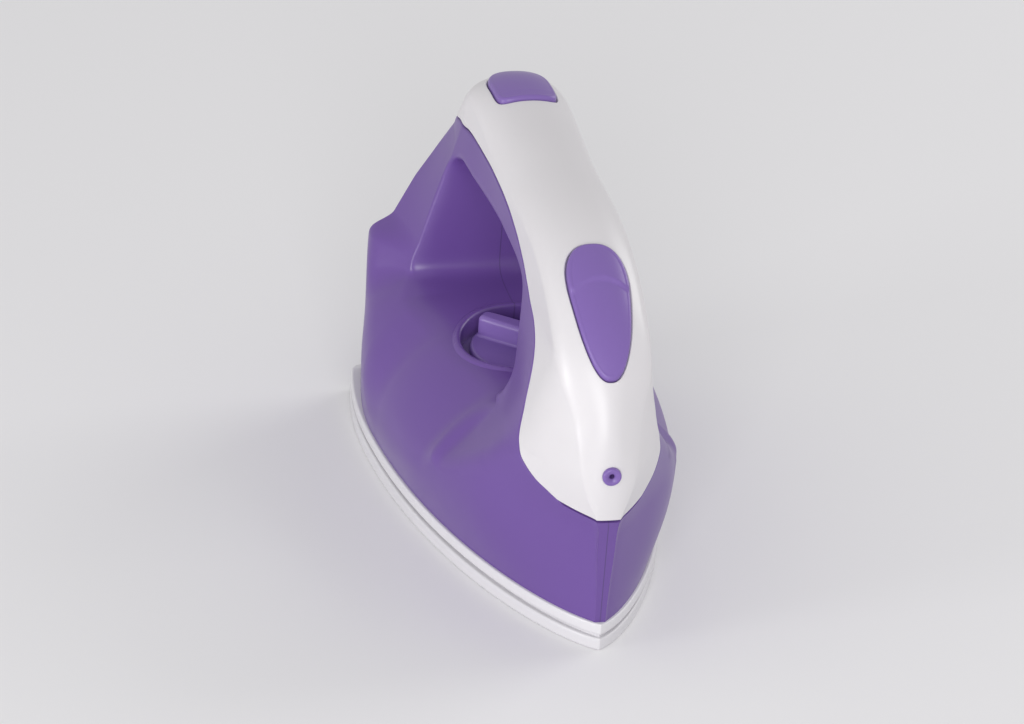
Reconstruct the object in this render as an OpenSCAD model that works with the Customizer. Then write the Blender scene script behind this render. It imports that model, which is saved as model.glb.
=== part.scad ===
// Toy steam iron: two body halves round a hand hole, a pale top cover, a stepped sole,
// a turning dial on the deck and two sprung push buttons.
// X runs towards the nose, Z up from the table, and Y = 0 is the parting plane of the halves.
// In the form functions d is the distance behind the nose tip, so X = iron_l / 2 - d.

/* [Overall] */
// Length from the nose tip to the heel
iron_l = 152; // [145:1:170]
// Greatest width across the sole
iron_w = 75; // [70:1:82]
// Height of the handle's top
iron_h = 105; // [102:1:110]

/* [Sole] */
// Thickness of the soleplate
sole_t = 3.4; // [3.2:0.2:5]
// Height of the groove above the soleplate
groove_h = 1.2; // [1:0.1:2]
// Depth of the groove
groove_d = 1.8; // [1:0.2:2.6]
// Height of the pale rim above the groove
skirt_h = 3; // [2.6:0.1:4]
// Length of the heel behind the widest place
heel_run = 34; // [26:1:42]
// Narrowing of the sole at each side of the heel
heel_taper = 4.6; // [2:0.2:5]
// Steam holes along each side of the sole
steam_rows = 8; // [4:1:10]
// Distance from the nose to the first steam holes
steam_from = 46; // [40:1:60]
// Distance from the heel to the last steam holes
steam_to = 38; // [30:1:60]
// Distance of the steam holes from the sole's edge
steam_edge = 9; // [7:0.5:12]
// Radius of a steam hole
steam_hole_r = 1.6; // [1:0.2:2]
// Depth of a steam hole, which is blind
steam_hole_d = 1.2; // [0.8:0.2:2]

/* [Body] */
// Wall of the body halves
wall = 2.2; // [1.8:0.1:2.6]
// Set-back of the body's lower edge from the sole's edge
body_inset = 0.9; // [0.5:0.1:2]
// Further set-back of the body at the heel
heel_inset = 1.8; // [0.4:0.2:2.4]
// Bulge of the lower flank
swell = 4.2; // [1:0.2:4.6]
// Height up to which the front edge stands upright
stem_z = 34; // [32:1:37]
// Run of the front's curve from the nose to the handle
crown_run = 74; // [68:1:80]
// Run of the rear's curve
tail_run = 35; // [32:1:40]
// Drop of the rear's curve from the handle's top
tail_drop = 49; // [46:1:52]
// Rise of the handle towards the rear, per millimetre
crown_rake = 0.05; // [0.02:0.01:0.07]
// Width of the handle
handle_w = 26; // [25:0.5:30]
// Height of the ledge round the heel
shoulder_z = 49; // [46:1:52]

/* [Hand hole] */
// Distance from the nose to the front of the hole
hole_front = 61; // [58:1:64]
// Thickness of the heel wall behind the hole
heel_t = 22; // [20:1:25]
// Height of the deck under the hole
deck_z = 44.5; // [43:0.5:47]
// Thickness of the handle over the hole
grip_t = 24; // [24:0.5:28]

/* [Top cover] */
// Thickness of the cover
cover_t = 2; // [1.6:0.1:2.4]
// Gap between the cover's edge and the body
cover_gap = 0.35; // [0.2:0.05:0.6]
// Space left under the cover
cover_seat = 0.3; // [0.2:0.05:0.5]

/* [Dial] */
// Distance from the heel to the dial's axis
dial_back = 60; // [56:1:62]
// Radius of the dial
dial_r = 16; // [13:0.5:17]
// Gap round the dial in its pocket
dial_gap = 2.6; // [1:0.2:3]
// Depth of the pocket in the deck
pocket_d = 6; // [5:0.5:7]
// Thickness of the dial's disc
dial_t = 3; // [2.4:0.2:4]
// Height of the grip bar above the disc
grip_bar_h = 6; // [4:0.5:8]
// Thickness of the grip bar
grip_bar_t = 5; // [3.6:0.2:6]
// Angle of the grip bar to the iron's length
grip_bar_turn = 50; // [0:5:90]
// Radius of the dial's spindle
spindle_r = 4; // [3.4:0.2:5]
// Running clearance of the spindle
spindle_gap = 0.06; // [0.03:0.01:0.09]
// Lift of the dial over the pocket's floor, and of the floor over the washer
dial_lift = 0.3; // [0.2:0.05:0.5]
// Radius of the washer under the floor
washer_r = 7; // [6.4:0.2:9]
// Thickness of the washer
washer_t = 1.2; // [1:0.1:1.6]

/* [Buttons] */
// Width of the egg-shaped button on the front shoulder
steam_button_w = 16.2; // [15:0.2:17]
// Width of the button at the rear of the handle
rear_button_w = 16.4; // [15:0.2:17]
// Stand of the buttons above the cover
button_proud = 1; // [0.6:0.1:1.4]
// Gap round the buttons
button_gap = 0.45; // [0.3:0.05:0.6]
// Width of the lip that keeps a button under the cover
lip_w = 1.2; // [1:0.1:1.4]
// Thickness of that lip
lip_t = 1.6; // [1.2:0.1:2]
// Press travel of the buttons
button_travel = 2.5; // [1.5:0.1:2.8]
// Radius of a button's stem
stem_r = 2.2; // [1.8:0.1:2.6]
// Running clearance of the stem
stem_gap = 0.06; // [0.03:0.01:0.09]
// Height of a spring at rest
spring_h = 6; // [5.6:0.2:6.6]
// Radius of a spring's coil, to the middle of the wire
spring_r = 4; // [3.6:0.1:4.6]
// Radius of the spring wire
wire_r = 0.4; // [0.3:0.05:0.45]
// Turns of a spring
spring_turns = 4; // [3:1:4]

/* [Nozzle] */
// Height of the spray nozzle
nozzle_z = 50; // [47:1:54]
// Radius of the nozzle
nozzle_r = 2.5; // [2:0.1:3]
// Radius of the nozzle's opening
nozzle_hole_r = 0.7; // [0.4:0.1:1]
// Clearance of the nozzle in its hole
nozzle_gap = 0.04; // [0.02:0.01:0.08]

/* [Fasteners] */
// Radius of the screws
screw_r = 1.4; // [1.2:0.1:1.6]
// Radius of the screw heads
screw_head_r = 2.8; // [2.4:0.1:3]
// Height of the screw heads
screw_head_h = 2; // [1.4:0.1:2.4]
// Length of the body screws under the head
body_screw_l = 16; // [13:0.5:17]
// Length of the sole screws under the head
sole_screw_l = 14; // [13:0.5:16]
// Length of the dial screw under the head
dial_screw_l = 8; // [6:0.5:9]
// Radius of the screw bosses
boss_r = 4.8; // [4.4:0.1:5.4]
// Clearance round the screws
screw_gap = 0.2; // [0.1:0.05:0.3]

/* [Hidden] */
$fn = 48;
purple = "#7d66a4";
pale = "#dcdadc";
silver = "#c9c8cc";
steel = "#9b9ca0";

half_w = iron_w / 2;
half_l = iron_l / 2;
peak = iron_l - heel_run;
body_z = sole_t + groove_h + skirt_h;
hole_rear = iron_l - heel_t;
grip_z = iron_h - grip_t;
tail_z = iron_h - tail_drop;
// Set-back of the body's front edge from the sole's nose
nose_back = 1.5;
front_h = iron_h - stem_z - crown_rake * (iron_l - tail_run - nose_back);
// Places on the ring where the cover begins and ends
cover_from = 1.318;
cover_to = 3.1;
rebate = cover_t + cover_seat;
// Space between the two stations of a step in the ring
step_u = 0.004;

// Smooth step from 0 at a to 1 at b
function smooth(a, b, x) = let (t = min(max((x - a) / (b - a), 0), 1)) t * t * (3 - 2 * t);

// The smaller of a and b, rounded over a width of k
function soft_min(a, b, k) = let (h = min(max(0.5 + 0.5 * (b - a) / k, 0), 1))
    b * (1 - h) + a * h - k * h * (1 - h);

// The larger of a and b, rounded over a width of k
function soft_max(a, b, k) = -soft_min(-a, -b, k);

function mix(a, b, t) = a + (b - a) * t;

// Half-width of the sole: a pointed arch in front of its widest place, a parabola behind it
function plan(d) = d < peak
    ? half_w * pow(1 - pow(1 - max(d, 0) / peak, 2), 0.75)
    : half_w - heel_taper * pow((d - peak) / heel_run, 2);

// Superellipse quarter from the front stem to the handle's top
function front_curve(a) = let (d = nose_back + crown_run * (1 - pow(max(cos(a), 0), 0.8)))
    [d, stem_z + front_h * pow(max(sin(a), 0), 0.8) + crown_rake * (d - nose_back)];

// Superellipse quarter from the heel to the handle's top
function tail_curve(a) = [
    iron_l - tail_run + (tail_run - 1) * pow(max(cos(a), 0), 0.74),
    tail_z + (iron_h - tail_z) * pow(max(sin(a), 0), 0.74)];

// Distance of the front curve behind the nose tip at height z
function front_back(z) = let (q = min(max((z - stem_z) / front_h, 0), 1))
    nose_back + crown_run * (1 - pow(1 - pow(q, 2.5), 0.4));

// Half-width that follows the sole, set back with the front curve, with a flat facet at the nose
function flank_width(d, z) = let (
    zc = soft_min(z, iron_h - 21, 14),
    bulge = swell * sin(180 * min(max((z - body_z) / 40, 0), 1)) * smooth(4, 40, d)
        * (1 - smooth(hole_rear - 35, iron_l - 4, d)),
    inset = body_inset + heel_inset * smooth(peak - 6, iron_l - 4, d),
    facet = 1.2 + 1.2 * smooth(body_z, stem_z, z) + 2 * smooth(stem_z, stem_z + 18, z),
    lead = 1.2 + 4.5 * smooth(stem_z - 2, stem_z + 16, z) + 8 * smooth(iron_h - 45, iron_h - 20, z))
    soft_max(plan(d - front_back(zc) + lead) - inset + bulge, facet,
        1 + 2.5 * smooth(stem_z - 6, stem_z + 10, z));

// Half-width of the deck's rounded roof, a superellipse that grows boxier towards the heel
function roof_width(d, z) = let (
    q = min(max((z - body_z) / (deck_z + 3.5 - body_z), 0), 1),
    n = 1.7 + 0.5 * smooth(hole_front, hole_front + 40, d) + 0.6 * smooth(hole_rear - 30, hole_rear, d))
    (half_w + 2.2) * pow(1 - pow(q, n), 1 / n);

// Half-width of the heel wall, which slopes more at its rear and has a ledge there; it stands on the roof
function heel_width(d, z) = let (
    t = min(max((d - hole_rear) / (heel_t - 2), 0), 1),
    ledge = 4.6 * (1 - smooth(shoulder_z - 0.5, shoulder_z + 6, z)) * smooth(iron_l - 18, iron_l - 3, d),
    slope = mix(0.25 * max(iron_h - 14 - z, 0), max(0.5 * (iron_h - 25 - z), -2), t))
    soft_max(handle_w / 2 + slope + ledge, roof_width(d, z) + 1, 2.5);

// Half-width of the front pillar, which spreads downwards and is let go behind its rear face
function pillar_width(d, z) = let (low = soft_max(deck_z + 6.5 - z, 0, 6))
    handle_w / 2 + 0.5 * low + 0.014 * low * low
        + 5 * (1 - smooth(hole_front * 0.5, hole_front * 1.05, d)) * (1 - smooth(deck_z + 3, grip_z - 3, z))
        + 0.8 * low * smooth(hole_front - 6, hole_front + 14, d);

// Half-width of the upper body: front pillar, handle and heel wall
function upper_width(d, z) = mix(pillar_width(d, z), heel_width(d, z),
    smooth(hole_front + 4, hole_rear - 4, d));

// Half-width of the rounded deck under the hand hole, let go outside the hole
function deck_width(d, z) = roof_width(d, z) + 70 * smooth(deck_z - 1, deck_z + 7, z)
    + 1.5 * soft_max(max(hole_front - 3 - d, d - hole_rear), 0, 10);

// Rounding of the heel's upright corners, as a share of the width
function heel_corner(d) = let (t = 1 - min(max((iron_l - 1 - d) / 2.2, 0), 1)) pow(1 - pow(t, 2.2), 1 / 2.2);

// Half-width of the body
function half_width(d, z) = heel_corner(d)
    * max(soft_min(soft_min(flank_width(d, z), upper_width(d, z), 3), deck_width(d, z), 3), 0.4);

// Edge of the hand hole; u runs 0 to 4 along deck, front, top and rear
function hole_edge(u) = let (
    s = floor(u),
    t = u - s,
    a = s == 0 ? 1 - 2 * t : s == 1 ? -1 : s == 2 ? -1 + 2 * t : 1,
    b = s == 0 ? -1 : s == 1 ? -1 + 2 * t : s == 2 ? 1 : 1 - 2 * t,
    n = pow(pow(abs(a), 9) + pow(abs(b), 9), 1 / 9))
    [(hole_front + hole_rear) / 2 + (hole_rear - hole_front) / 2 * a / n,
     (deck_z + grip_z) / 2 + (grip_z - deck_z) / 2 * b / n];

// Outer edge of the body in side view, with the same u
function outer_edge(u) = let (s = floor(u), t = u - s)
    s == 0 ? [mix(iron_l - 1, nose_back, t), body_z]
    : s == 1 ? (t < 0.3 ? [nose_back, mix(body_z, stem_z, t / 0.3)] : front_curve((t - 0.3) / 0.7 * 50))
    : s == 2 ? (t < 0.35 ? front_curve(50 + t / 0.35 * 40)
        : t < 0.65 ? mix(front_curve(90), tail_curve(90), (t - 0.35) / 0.3)
        : tail_curve(90 - (t - 0.65) / 0.35 * 45))
    : t < 0.4 ? tail_curve(45 - t / 0.4 * 45) : [iron_l - 1, mix(tail_z, body_z, (t - 0.4) / 0.6)];

// Rounding of the body's section at the outer edge
function outer_round(u) = handle_w * lookup(u, [[0, 0.0004], [1.3, 0.0004], [1.36, 0.058], [1.5, 0.154],
    [1.75, 0.308], [2, 0.423], [2.35, 0.462], [2.6, 0.365], [2.75, 0.327], [3, 0.308], [3.25, 0.154],
    [3.5, 0.0004], [4, 0.0004]]);

// Rounding of the section at the hand hole
function hole_round(u) = handle_w * lookup(u, [[0, 0.115], [0.03, 0.115], [0.15, 0.154], [0.9, 0.192],
    [2.85, 0.192], [3.05, 0.115], [4, 0.115]]);

// Power of that rounding, which is crisper along the heel wall
function hole_power(u) = lookup(u, [[0, 4.5], [0.03, 4.5], [0.15, 3], [2.85, 3], [3.05, 4.5], [4, 4.5]]);

// Share of a section, from the hole outwards, at which the cover begins
function strip_edge(u) = lookup(u, [[0, 0.5], [1.2, 0.5], [1.31, 0.82], [1.33, 0.733], [1.345, 0.67],
    [1.37, 0.6], [1.4, 0.556], [1.44, 0.523], [1.5, 0.494], [1.6, 0.466], [1.7, 0.425], [1.8, 0.355],
    [1.9, 0.25], [2, 0.22], [2.1, 0.263], [2.25, 0.376], [2.4, 0.468], [2.5, 0.475], [2.7, 0.434],
    [2.85, 0.44], [3, 0.571], [3.05, 0.672], [3.1, 0.82], [3.15, 0.82], [3.5, 0.5], [4, 0.5]]);

function ring_len(u) = norm(outer_edge(u) - hole_edge(u));

// Sections in the front leave the outer edge level and bend up towards the hole
function section_bend(u) = lookup(u, [[0.8, 1], [1.2, 1.8], [1.42, 1.8], [1.9, 1]]);

function ring_spot(u, r) = let (h = hole_edge(u), o = outer_edge(u))
    [mix(h[0], o[0], r), mix(o[1], h[1], pow(max(1 - r, 0), section_bend(u)))];

// Half-width of the section at the share r of its length
function ring_y(u, r) = let (
    p = ring_spot(u, r),
    ci = 1 - min(r * ring_len(u) / hole_round(u), 1),
    co = 1 - min((1 - r) * ring_len(u) / outer_round(u), 1),
    k = hole_power(u))
    half_width(p[0], p[1]) * pow(1 - pow(ci, k), 1 / k) * pow(1 - pow(co, 2.2), 1 / 2.2);

function place(p, y) = [half_l - p[0], y, p[1]];

// Point of the section moved inwards by a depth, between the share s and the outer edge
function sunk_point(u, r, s, depth) = let (n = ring_len(u) * (1 - s))
    place(ring_spot(u, s + (r - s) * (1 - depth / n)), ring_y(u, r) * (1 - depth / ring_y(u, s)));

function depth_at(u) = u > cover_from && u < cover_to ? rebate : 0;

// Outside of a body half at u, from the hole to the outer edge, sunk where the cover lies
function shell_outside(u) = let (
    s = strip_edge(u),
    s2 = s + 0.25 / ring_len(u),
    depth = depth_at(u))
    concat(
        [for (j = [0:8]) let (r = s * pow(j / 8, 1.6)) place(ring_spot(u, r), ring_y(u, r))],
        [for (j = [0:9]) let (r = j == 9 ? 1 : j == 8 ? 0.9995 : 1 - (1 - s2) * pow(1 - j / 8, 1.6))
            sunk_point(u, r, s2, depth)]);

// Inside of a body half at u, from the outer edge back to the hole
function shell_inside(u) = let (
    s = strip_edge(u),
    depth = depth_at(u),
    o0 = wall / ring_len(u),
    o1 = (wall + depth) / ring_len(u))
    [for (j = [0:10]) let (r = j == 0 ? 1 : j == 1 ? 0.9995 : pow((10 - j) / 9.4, 1.25))
        place(ring_spot(u, o0 + r * (1 - o0 - o1)),
            max(0, ring_y(u, r) - wall - depth * smooth(s - 0.12, s - 0.04, r)))];

ring_u = concat(
    [0, 0.009, 0.02, 0.034],
    [for (i = [0:23]) 0.06 + i * 0.04],
    [1.02, 1.08, 1.14, 1.2, 1.24, 1.28, cover_from - step_u, cover_from + step_u, 1.334, 1.348, 1.37, 1.395],
    [for (i = [0:9]) 1.42 + i * 0.058],
    [for (i = [0:17]) 2 + i / 18],
    [3, 3.05, cover_to - step_u, cover_to + step_u, 3.15, 3.22, 3.3, 3.4, 3.55, 3.7, 3.85, 3.94]);

// Triangles of a closed or open tube whose rings have k points each
function tube_faces(n, k, closed) = [
    for (i = [0:(closed ? n - 1 : n - 2)])
        for (j = [0:k - 1])
            let (
                next = ((i + 1) % n) * k,
                a = i * k + j,
                b = i * k + (j + 1) % k,
                c = next + (j + 1) % k,
                e = next + j)
                each [[a, b, c], [a, c, e]]];

// Triangles turned inside out
function flip(faces) = [for (f = faces) [f[2], f[1], f[0]]];

module ring_shell(side) {
    rings = [for (u = ring_u) concat(shell_outside(u), shell_inside(u))];
    points = [for (r = rings) for (p = r) [p[0], side * p[1], p[2]]];
    faces = tube_faces(len(ring_u), len(rings[0]), true);
    polyhedron(points, side > 0 ? faces : flip(faces));
}

// Shares of the cover's section: q runs from -8 at one edge over the crown to 8 at the other
function cover_share(q, s) = 1 - (1 - s) * pow(abs(q) / 8, 1.6);

function cover_point(u, q, depth) = let (
    s = strip_edge(u) + (0.25 + cover_gap) / ring_len(u),
    p = sunk_point(u, cover_share(q, s), s, depth))
    [p[0], sign(q) * p[1], p[2]];

cover_u = concat(
    [cover_from + step_u * 2, 1.334, 1.348, 1.37, 1.395],
    [for (i = [0:9]) 1.42 + i * 0.058],
    [for (i = [0:17]) 2 + i / 18],
    [3, 3.05, cover_to - step_u * 2]);

// Triangles of the flat end of the cover's strip
function cap_faces(base) = [for (j = [0:15])
    each [[base + j, base + 33 - j, base + 32 - j], [base + j, base + 32 - j, base + j + 1]]];

module cover_strip() {
    points = [for (u = cover_u) each concat(
        [for (q = [-8:8]) cover_point(u, q, 0)],
        [for (q = [-8:8]) cover_point(u, -q, cover_t)])];
    n = len(cover_u);
    polyhedron(points, concat(
        tube_faces(n, 34, false),
        cap_faces(0),
        flip(cap_faces((n - 1) * 34))));
}

// Buttons: a chord of the crown's curve gives each button its own frame
// Angles on the front curve at the ends of the egg-shaped button
steam_ends = [32, 68];
// Angles on the rear curve at the ends of the rear button; above 90 they run on along the crown
rear_ends = [101, 68];
lip_depth = cover_t * 1.2 + lip_w * 0.7 + 2.1;
plate_depth = lip_depth + lip_t + spring_h;
plate_t = wall * 1.14;
stem_depth = plate_depth + plate_t * 1.3;

function crown_spot(kind, a) = let (
    p = kind == 0 ? front_curve(a) : tail_curve(min(a, 90)),
    over = kind == 0 ? 0 : 0.35 * max(a - 90, 0))
    [half_l - p[0] + over, p[1] - crown_rake * over];
function ends_of(kind) = kind == 0 ? steam_ends : rear_ends;
function first_end(kind) = crown_spot(kind, ends_of(kind)[0]);
function last_end(kind) = crown_spot(kind, ends_of(kind)[1]);
function chord_mid(kind) = (first_end(kind) + last_end(kind)) / 2;
function chord_half(kind) = norm(last_end(kind) - first_end(kind)) / 2;
function along(kind) = (last_end(kind) - first_end(kind)) / (2 * chord_half(kind));
function press_axis(kind) = [along(kind)[1], -along(kind)[0]];

// Half-width of a button at the share e of its half-length, -1 to 1
function button_half(kind, e) = kind == 0
    ? steam_button_w / 2 * pow(1 - pow(abs(e), 2.5), 0.4) * (1 + 0.28 * e) / 1.0655
    : rear_button_w / 2 * pow(1 - pow(abs(e), e < 0 ? 6 : 2.6), 1 / (e < 0 ? 6 : 2.6));

// Stations of a button: place along the chord, height over it and half-width
button_n = 16;
function station(kind, i) = let (
    t = (1 - cos(180 * (i + 0.3) / (button_n + 0.6))) / 2,
    p = crown_spot(kind, mix(ends_of(kind)[0], ends_of(kind)[1], t)) - chord_mid(kind),
    a = p * along(kind))
    [a, p * press_axis(kind), button_half(kind, a / chord_half(kind))];

// Outline of a button grown by a margin, on the plane across its press axis
module button_outline(kind, grow) {
    side = [for (i = [0:button_n]) let (s = station(kind, i))
        [s[0] + grow * s[0] / chord_half(kind), s[2] + grow]];
    polygon(concat(side, [for (i = [button_n:-1:0]) [side[i][0], -side[i][1]]]));
}

module in_button_frame(kind) {
    o = chord_mid(kind);
    a = along(kind);
    n = press_axis(kind);
    multmatrix([[a[0], 0, n[0], o[0]], [0, -1, 0, 0], [a[1], 0, n[1], o[1]], [0, 0, 0, 1]]) children();
}

// Fall of the button's top towards its sides, as the crown falls
function top_fall(kind, y) = handle_w * (kind == 0 ? 0.423 : 0.327)
    * (1 - pow(1 - pow(min(abs(y) / (handle_w / 2), 0.95), 2.2), 1 / 2.2));

module button_cap(kind) {
    k = 8;
    top = [for (i = [0:button_n]) let (s = station(kind, i)) for (j = [0:k])
        let (y = s[2] * sin(-90 + 180 * j / k)) [s[0], y, s[1] + button_proud - top_fall(kind, y)]];
    base = [for (i = [0:button_n]) let (s = station(kind, i)) for (j = [0:k])
        [s[0], s[2] * sin(-90 + 180 * j / k), -lip_depth - 0.4]];
    n = (button_n + 1) * (k + 1);
    grid = [for (i = [0:button_n - 1]) for (j = [0:k - 1])
        let (a = i * (k + 1) + j) each [[a, a + 1, a + k + 2], [a, a + k + 2, a + k + 1]]];
    rim = concat(
        [for (j = [0:k]) j],
        [for (i = [1:button_n]) i * (k + 1) + k],
        [for (j = [k - 1:-1:0]) button_n * (k + 1) + j],
        [for (i = [button_n - 1:-1:1]) i * (k + 1)]);
    m = len(rim);
    walls = [for (i = [0:m - 1]) let (a = rim[i], b = rim[(i + 1) % m])
        each [[b, a, a + n], [b, a + n, b + n]]];
    under = [for (f = flip(grid)) [f[0] + n, f[1] + n, f[2] + n]];
    polyhedron(concat(top, base), concat(grid, walls, under));
}

module button(kind) {
    in_button_frame(kind) {
        button_cap(kind);
        translate([0, 0, -lip_depth - lip_t]) linear_extrude(lip_t) button_outline(kind, lip_w);
        translate([0, 0, -stem_depth]) cylinder(h = stem_depth - lip_depth - 0.5, r = stem_r);
    }
}

// Coil spring between a button's lip and its guide plate
module spring(kind) {
    low = -plate_depth + wire_r + 0.1;
    high = -lip_depth - lip_t - wire_r - 0.1;
    n = spring_turns * 12;
    points = [for (i = [0:n]) let (a = 30 * i, z = mix(low, high, i / n)) for (j = [0:5])
        let (r = spring_r + wire_r * cos(60 * j)) [r * cos(a), r * sin(a), z + wire_r * sin(60 * j)]];
    first = [for (j = [1:4]) [0, j, j + 1]];
    last = [for (j = [1:4]) [n * 6, n * 6 + j + 1, n * 6 + j]];
    in_button_frame(kind)
        polyhedron(points, concat(flip(tube_faces(n + 1, 6, false)), first, last));
}

// Places of the screws: distance behind the nose and height, or distance and side
body_screw_spots = [
    [hole_front * 0.8, body_z + boss_r * 2.2],
    [iron_l - heel_t * 0.5, body_z + boss_r * 2.6],
    [iron_l - heel_t * 0.5, tail_z + boss_r * 1.7],
    [hole_front * 0.77, deck_z + boss_r * 2.5],
    [iron_l - heel_t * 1.8, body_z + boss_r * 2.2]];
body_seat = body_screw_l * 0.5;
sole_screw_spots = [[hole_front * 0.56, iron_w * 0.125], [iron_l - heel_t * 1.1, iron_w * 0.288]];
sole_seat = screw_head_h * 1.2;
sole_boss_top = sole_seat + sole_screw_l + 3;

// Reach of a rib or boss towards the body's wall: it ends inside the wall all round its place
function reach(d, z, r) = min([for (a = [0:45:315]) half_width(d + r * cos(a), z + r * sin(a))]) - 0.7;

module across(d, z, y0, y1, r) {
    translate([half_l - d, y0, z]) rotate([-90, 0, 0]) cylinder(h = y1 - y0, r = r);
}

// Half of the dial's bearing floor and pocket wall
module dial_seat(side) {
    intersection() {
        translate([half_l - (iron_l - dial_back), 0, floor_z - floor_t])
            cylinder(h = pocket_d - 3 + floor_t, r = dial_r + dial_gap + wall, $fn = 96);
        translate([-iron_l, side > 0 ? 0 : -iron_w, 0]) cube([iron_l * 2, iron_w, iron_h]);
    }
}

floor_z = deck_z - pocket_d;
floor_t = 2.5;
spindle_low = floor_z - floor_t - dial_lift;
dial_x = half_l - (iron_l - dial_back);

// Half of the plate that guides a button's stem and carries its spring
module guide_plate(kind, side) {
    m = chord_mid(kind) - press_axis(kind) * (plate_depth + plate_t / 2);
    half = spring_r * 2.25;
    y = reach(half_l - m[0], m[1], half) - rebate;
    in_button_frame(kind)
        translate([-half, side > 0 ? -y : 0, -plate_depth - plate_t]) cube([half * 2, y, plate_t]);
}

module body_half(side) {
    difference() {
        union() {
            ring_shell(side);
            dial_seat(side);
            guide_plate(0, side);
            guide_plate(1, side);
            for (p = body_screw_spots) {
                y = reach(p[0], p[1], boss_r);
                across(p[0], p[1], side > 0 ? 0 : -y, side > 0 ? y : 0, boss_r);
            }
            for (p = sole_screw_spots)
                translate([half_l - p[0], side * p[1], body_z + 0.3])
                    cylinder(h = sole_boss_top - body_z - 0.3, r = boss_r);
        }
        translate([dial_x, 0, floor_z]) cylinder(h = pocket_d * 2, r = dial_r + dial_gap, $fn = 96);
        translate([dial_x, 0, floor_z - floor_t - 1]) cylinder(h = floor_t + 2, r = spindle_r + spindle_gap);
        for (kind = [0, 1])
            in_button_frame(kind) {
                translate([0, 0, -lip_depth - lip_t - button_travel - 0.8])
                    linear_extrude(handle_w * 1.5) button_outline(kind, lip_w + 0.6);
                translate([0, 0, -plate_depth - plate_t - 1])
                    cylinder(h = plate_t + 2, r = stem_r + stem_gap);
            }
        for (p = body_screw_spots) {
            if (side > 0) {
                across(p[0], p[1], -1, body_seat + 1, screw_r + screw_gap);
                across(p[0], p[1], body_seat, iron_w, screw_head_r + screw_gap);
            } else
                across(p[0], p[1], body_seat - body_screw_l - 0.5, 1, screw_r);
        }
        for (p = sole_screw_spots)
            translate([half_l - p[0], side * p[1], body_z - 1])
                cylinder(h = sole_seat + sole_screw_l + 0.5 - body_z + 1, r = screw_r);
        nozzle_cut();
    }
}

nozzle_d = front_back(nozzle_z);
nozzle_l = cover_t + wall + 3;

module nozzle_rod(from_d, to_d, r) {
    translate([half_l - to_d, 0, nozzle_z]) rotate([0, 90, 0]) cylinder(h = to_d - from_d, r = r);
}

module nozzle_cut() {
    nozzle_rod(-2, nozzle_d + nozzle_l + 2, nozzle_r + nozzle_gap);
}

module spray_nozzle() {
    color(purple) difference() {
        nozzle_rod(nozzle_d - 0.7, nozzle_d + nozzle_l, nozzle_r);
        nozzle_rod(-2, nozzle_d + 4, nozzle_hole_r);
    }
}

module body_left() {
    color(purple) body_half(1);
}

module body_right() {
    color(purple) body_half(-1);
}

module top_cover() {
    color(pale) difference() {
        cover_strip();
        for (kind = [0, 1])
            in_button_frame(kind)
                translate([0, 0, -handle_w]) linear_extrude(handle_w * 2) button_outline(kind, button_gap);
        nozzle_cut();
    }
}

// Outline of the sole moved inwards
module sole_outline(inset) {
    d = [for (i = [0:36]) let (t = i / 36)
        mix(0.02 + inset * 1.2, iron_l - 2.5 - inset, t * t * (1.6 - 0.6 * t))];
    corner = plan(iron_l - 2) - inset;
    side = concat(
        [for (x = d) [half_l - x, plan(x) - inset]],
        [[-half_l + inset + 0.7, corner - 1.1], [-half_l + inset, corner - 3.2]]);
    n = len(side) - 1;
    polygon(concat(side, [for (i = [n:-1:0]) [side[i][0], -side[i][1]]]));
}

module sole_screw_holes(r) {
    for (p = sole_screw_spots)
        for (s = [-1, 1])
            translate([half_l - p[0], s * p[1], -1]) cylinder(h = body_z + 2, r = r);
}

module soleplate() {
    color(silver) difference() {
        linear_extrude(sole_t) sole_outline(0);
        sole_screw_holes(screw_r + screw_gap);
        for (p = sole_screw_spots)
            for (s = [-1, 1])
                translate([half_l - p[0], s * p[1], -1])
                    cylinder(h = sole_seat + 1, r = screw_head_r + screw_gap);
        for (i = [0:steam_rows - 1])
            for (s = [-1, 1]) {
                d = mix(steam_from, iron_l - steam_to, i / (steam_rows - 1));
                translate([half_l - d, s * (plan(d) - steam_edge), -1])
                    cylinder(h = steam_hole_d + 1, r = steam_hole_r, $fn = 24);
            }
    }
}

module sole_skirt() {
    color(pale) difference() {
        union() {
            translate([0, 0, sole_t]) linear_extrude(groove_h + 0.2) sole_outline(groove_d);
            translate([0, 0, sole_t + groove_h]) linear_extrude(skirt_h) sole_outline(0);
        }
        sole_screw_holes(screw_r + screw_gap);
    }
}

module temperature_dial() {
    disc_z = floor_z + dial_lift;
    color(purple) translate([dial_x, 0, 0]) difference() {
        union() {
            translate([0, 0, disc_z]) cylinder(h = dial_t, r = dial_r, $fn = 96);
            translate([0, 0, spindle_low]) cylinder(h = disc_z + 1 - spindle_low, r = spindle_r);
            intersection() {
                translate([0, 0, disc_z + 1])
                    cylinder(h = dial_t - 1 + grip_bar_h, r = dial_r * 0.95, $fn = 96);
                rotate(grip_bar_turn) translate([-dial_r, -grip_bar_t / 2, 0])
                    cube([dial_r * 2, grip_bar_t, iron_h]);
            }
        }
        translate([0, 0, spindle_low - 1]) cylinder(h = dial_screw_l - washer_t + 1.5, r = screw_r);
    }
}

module dial_washer() {
    color(steel) translate([dial_x, 0, spindle_low - washer_t]) difference() {
        cylinder(h = washer_t, r = washer_r);
        translate([0, 0, -1]) cylinder(h = washer_t + 2, r = screw_r + screw_gap);
    }
}

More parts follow.
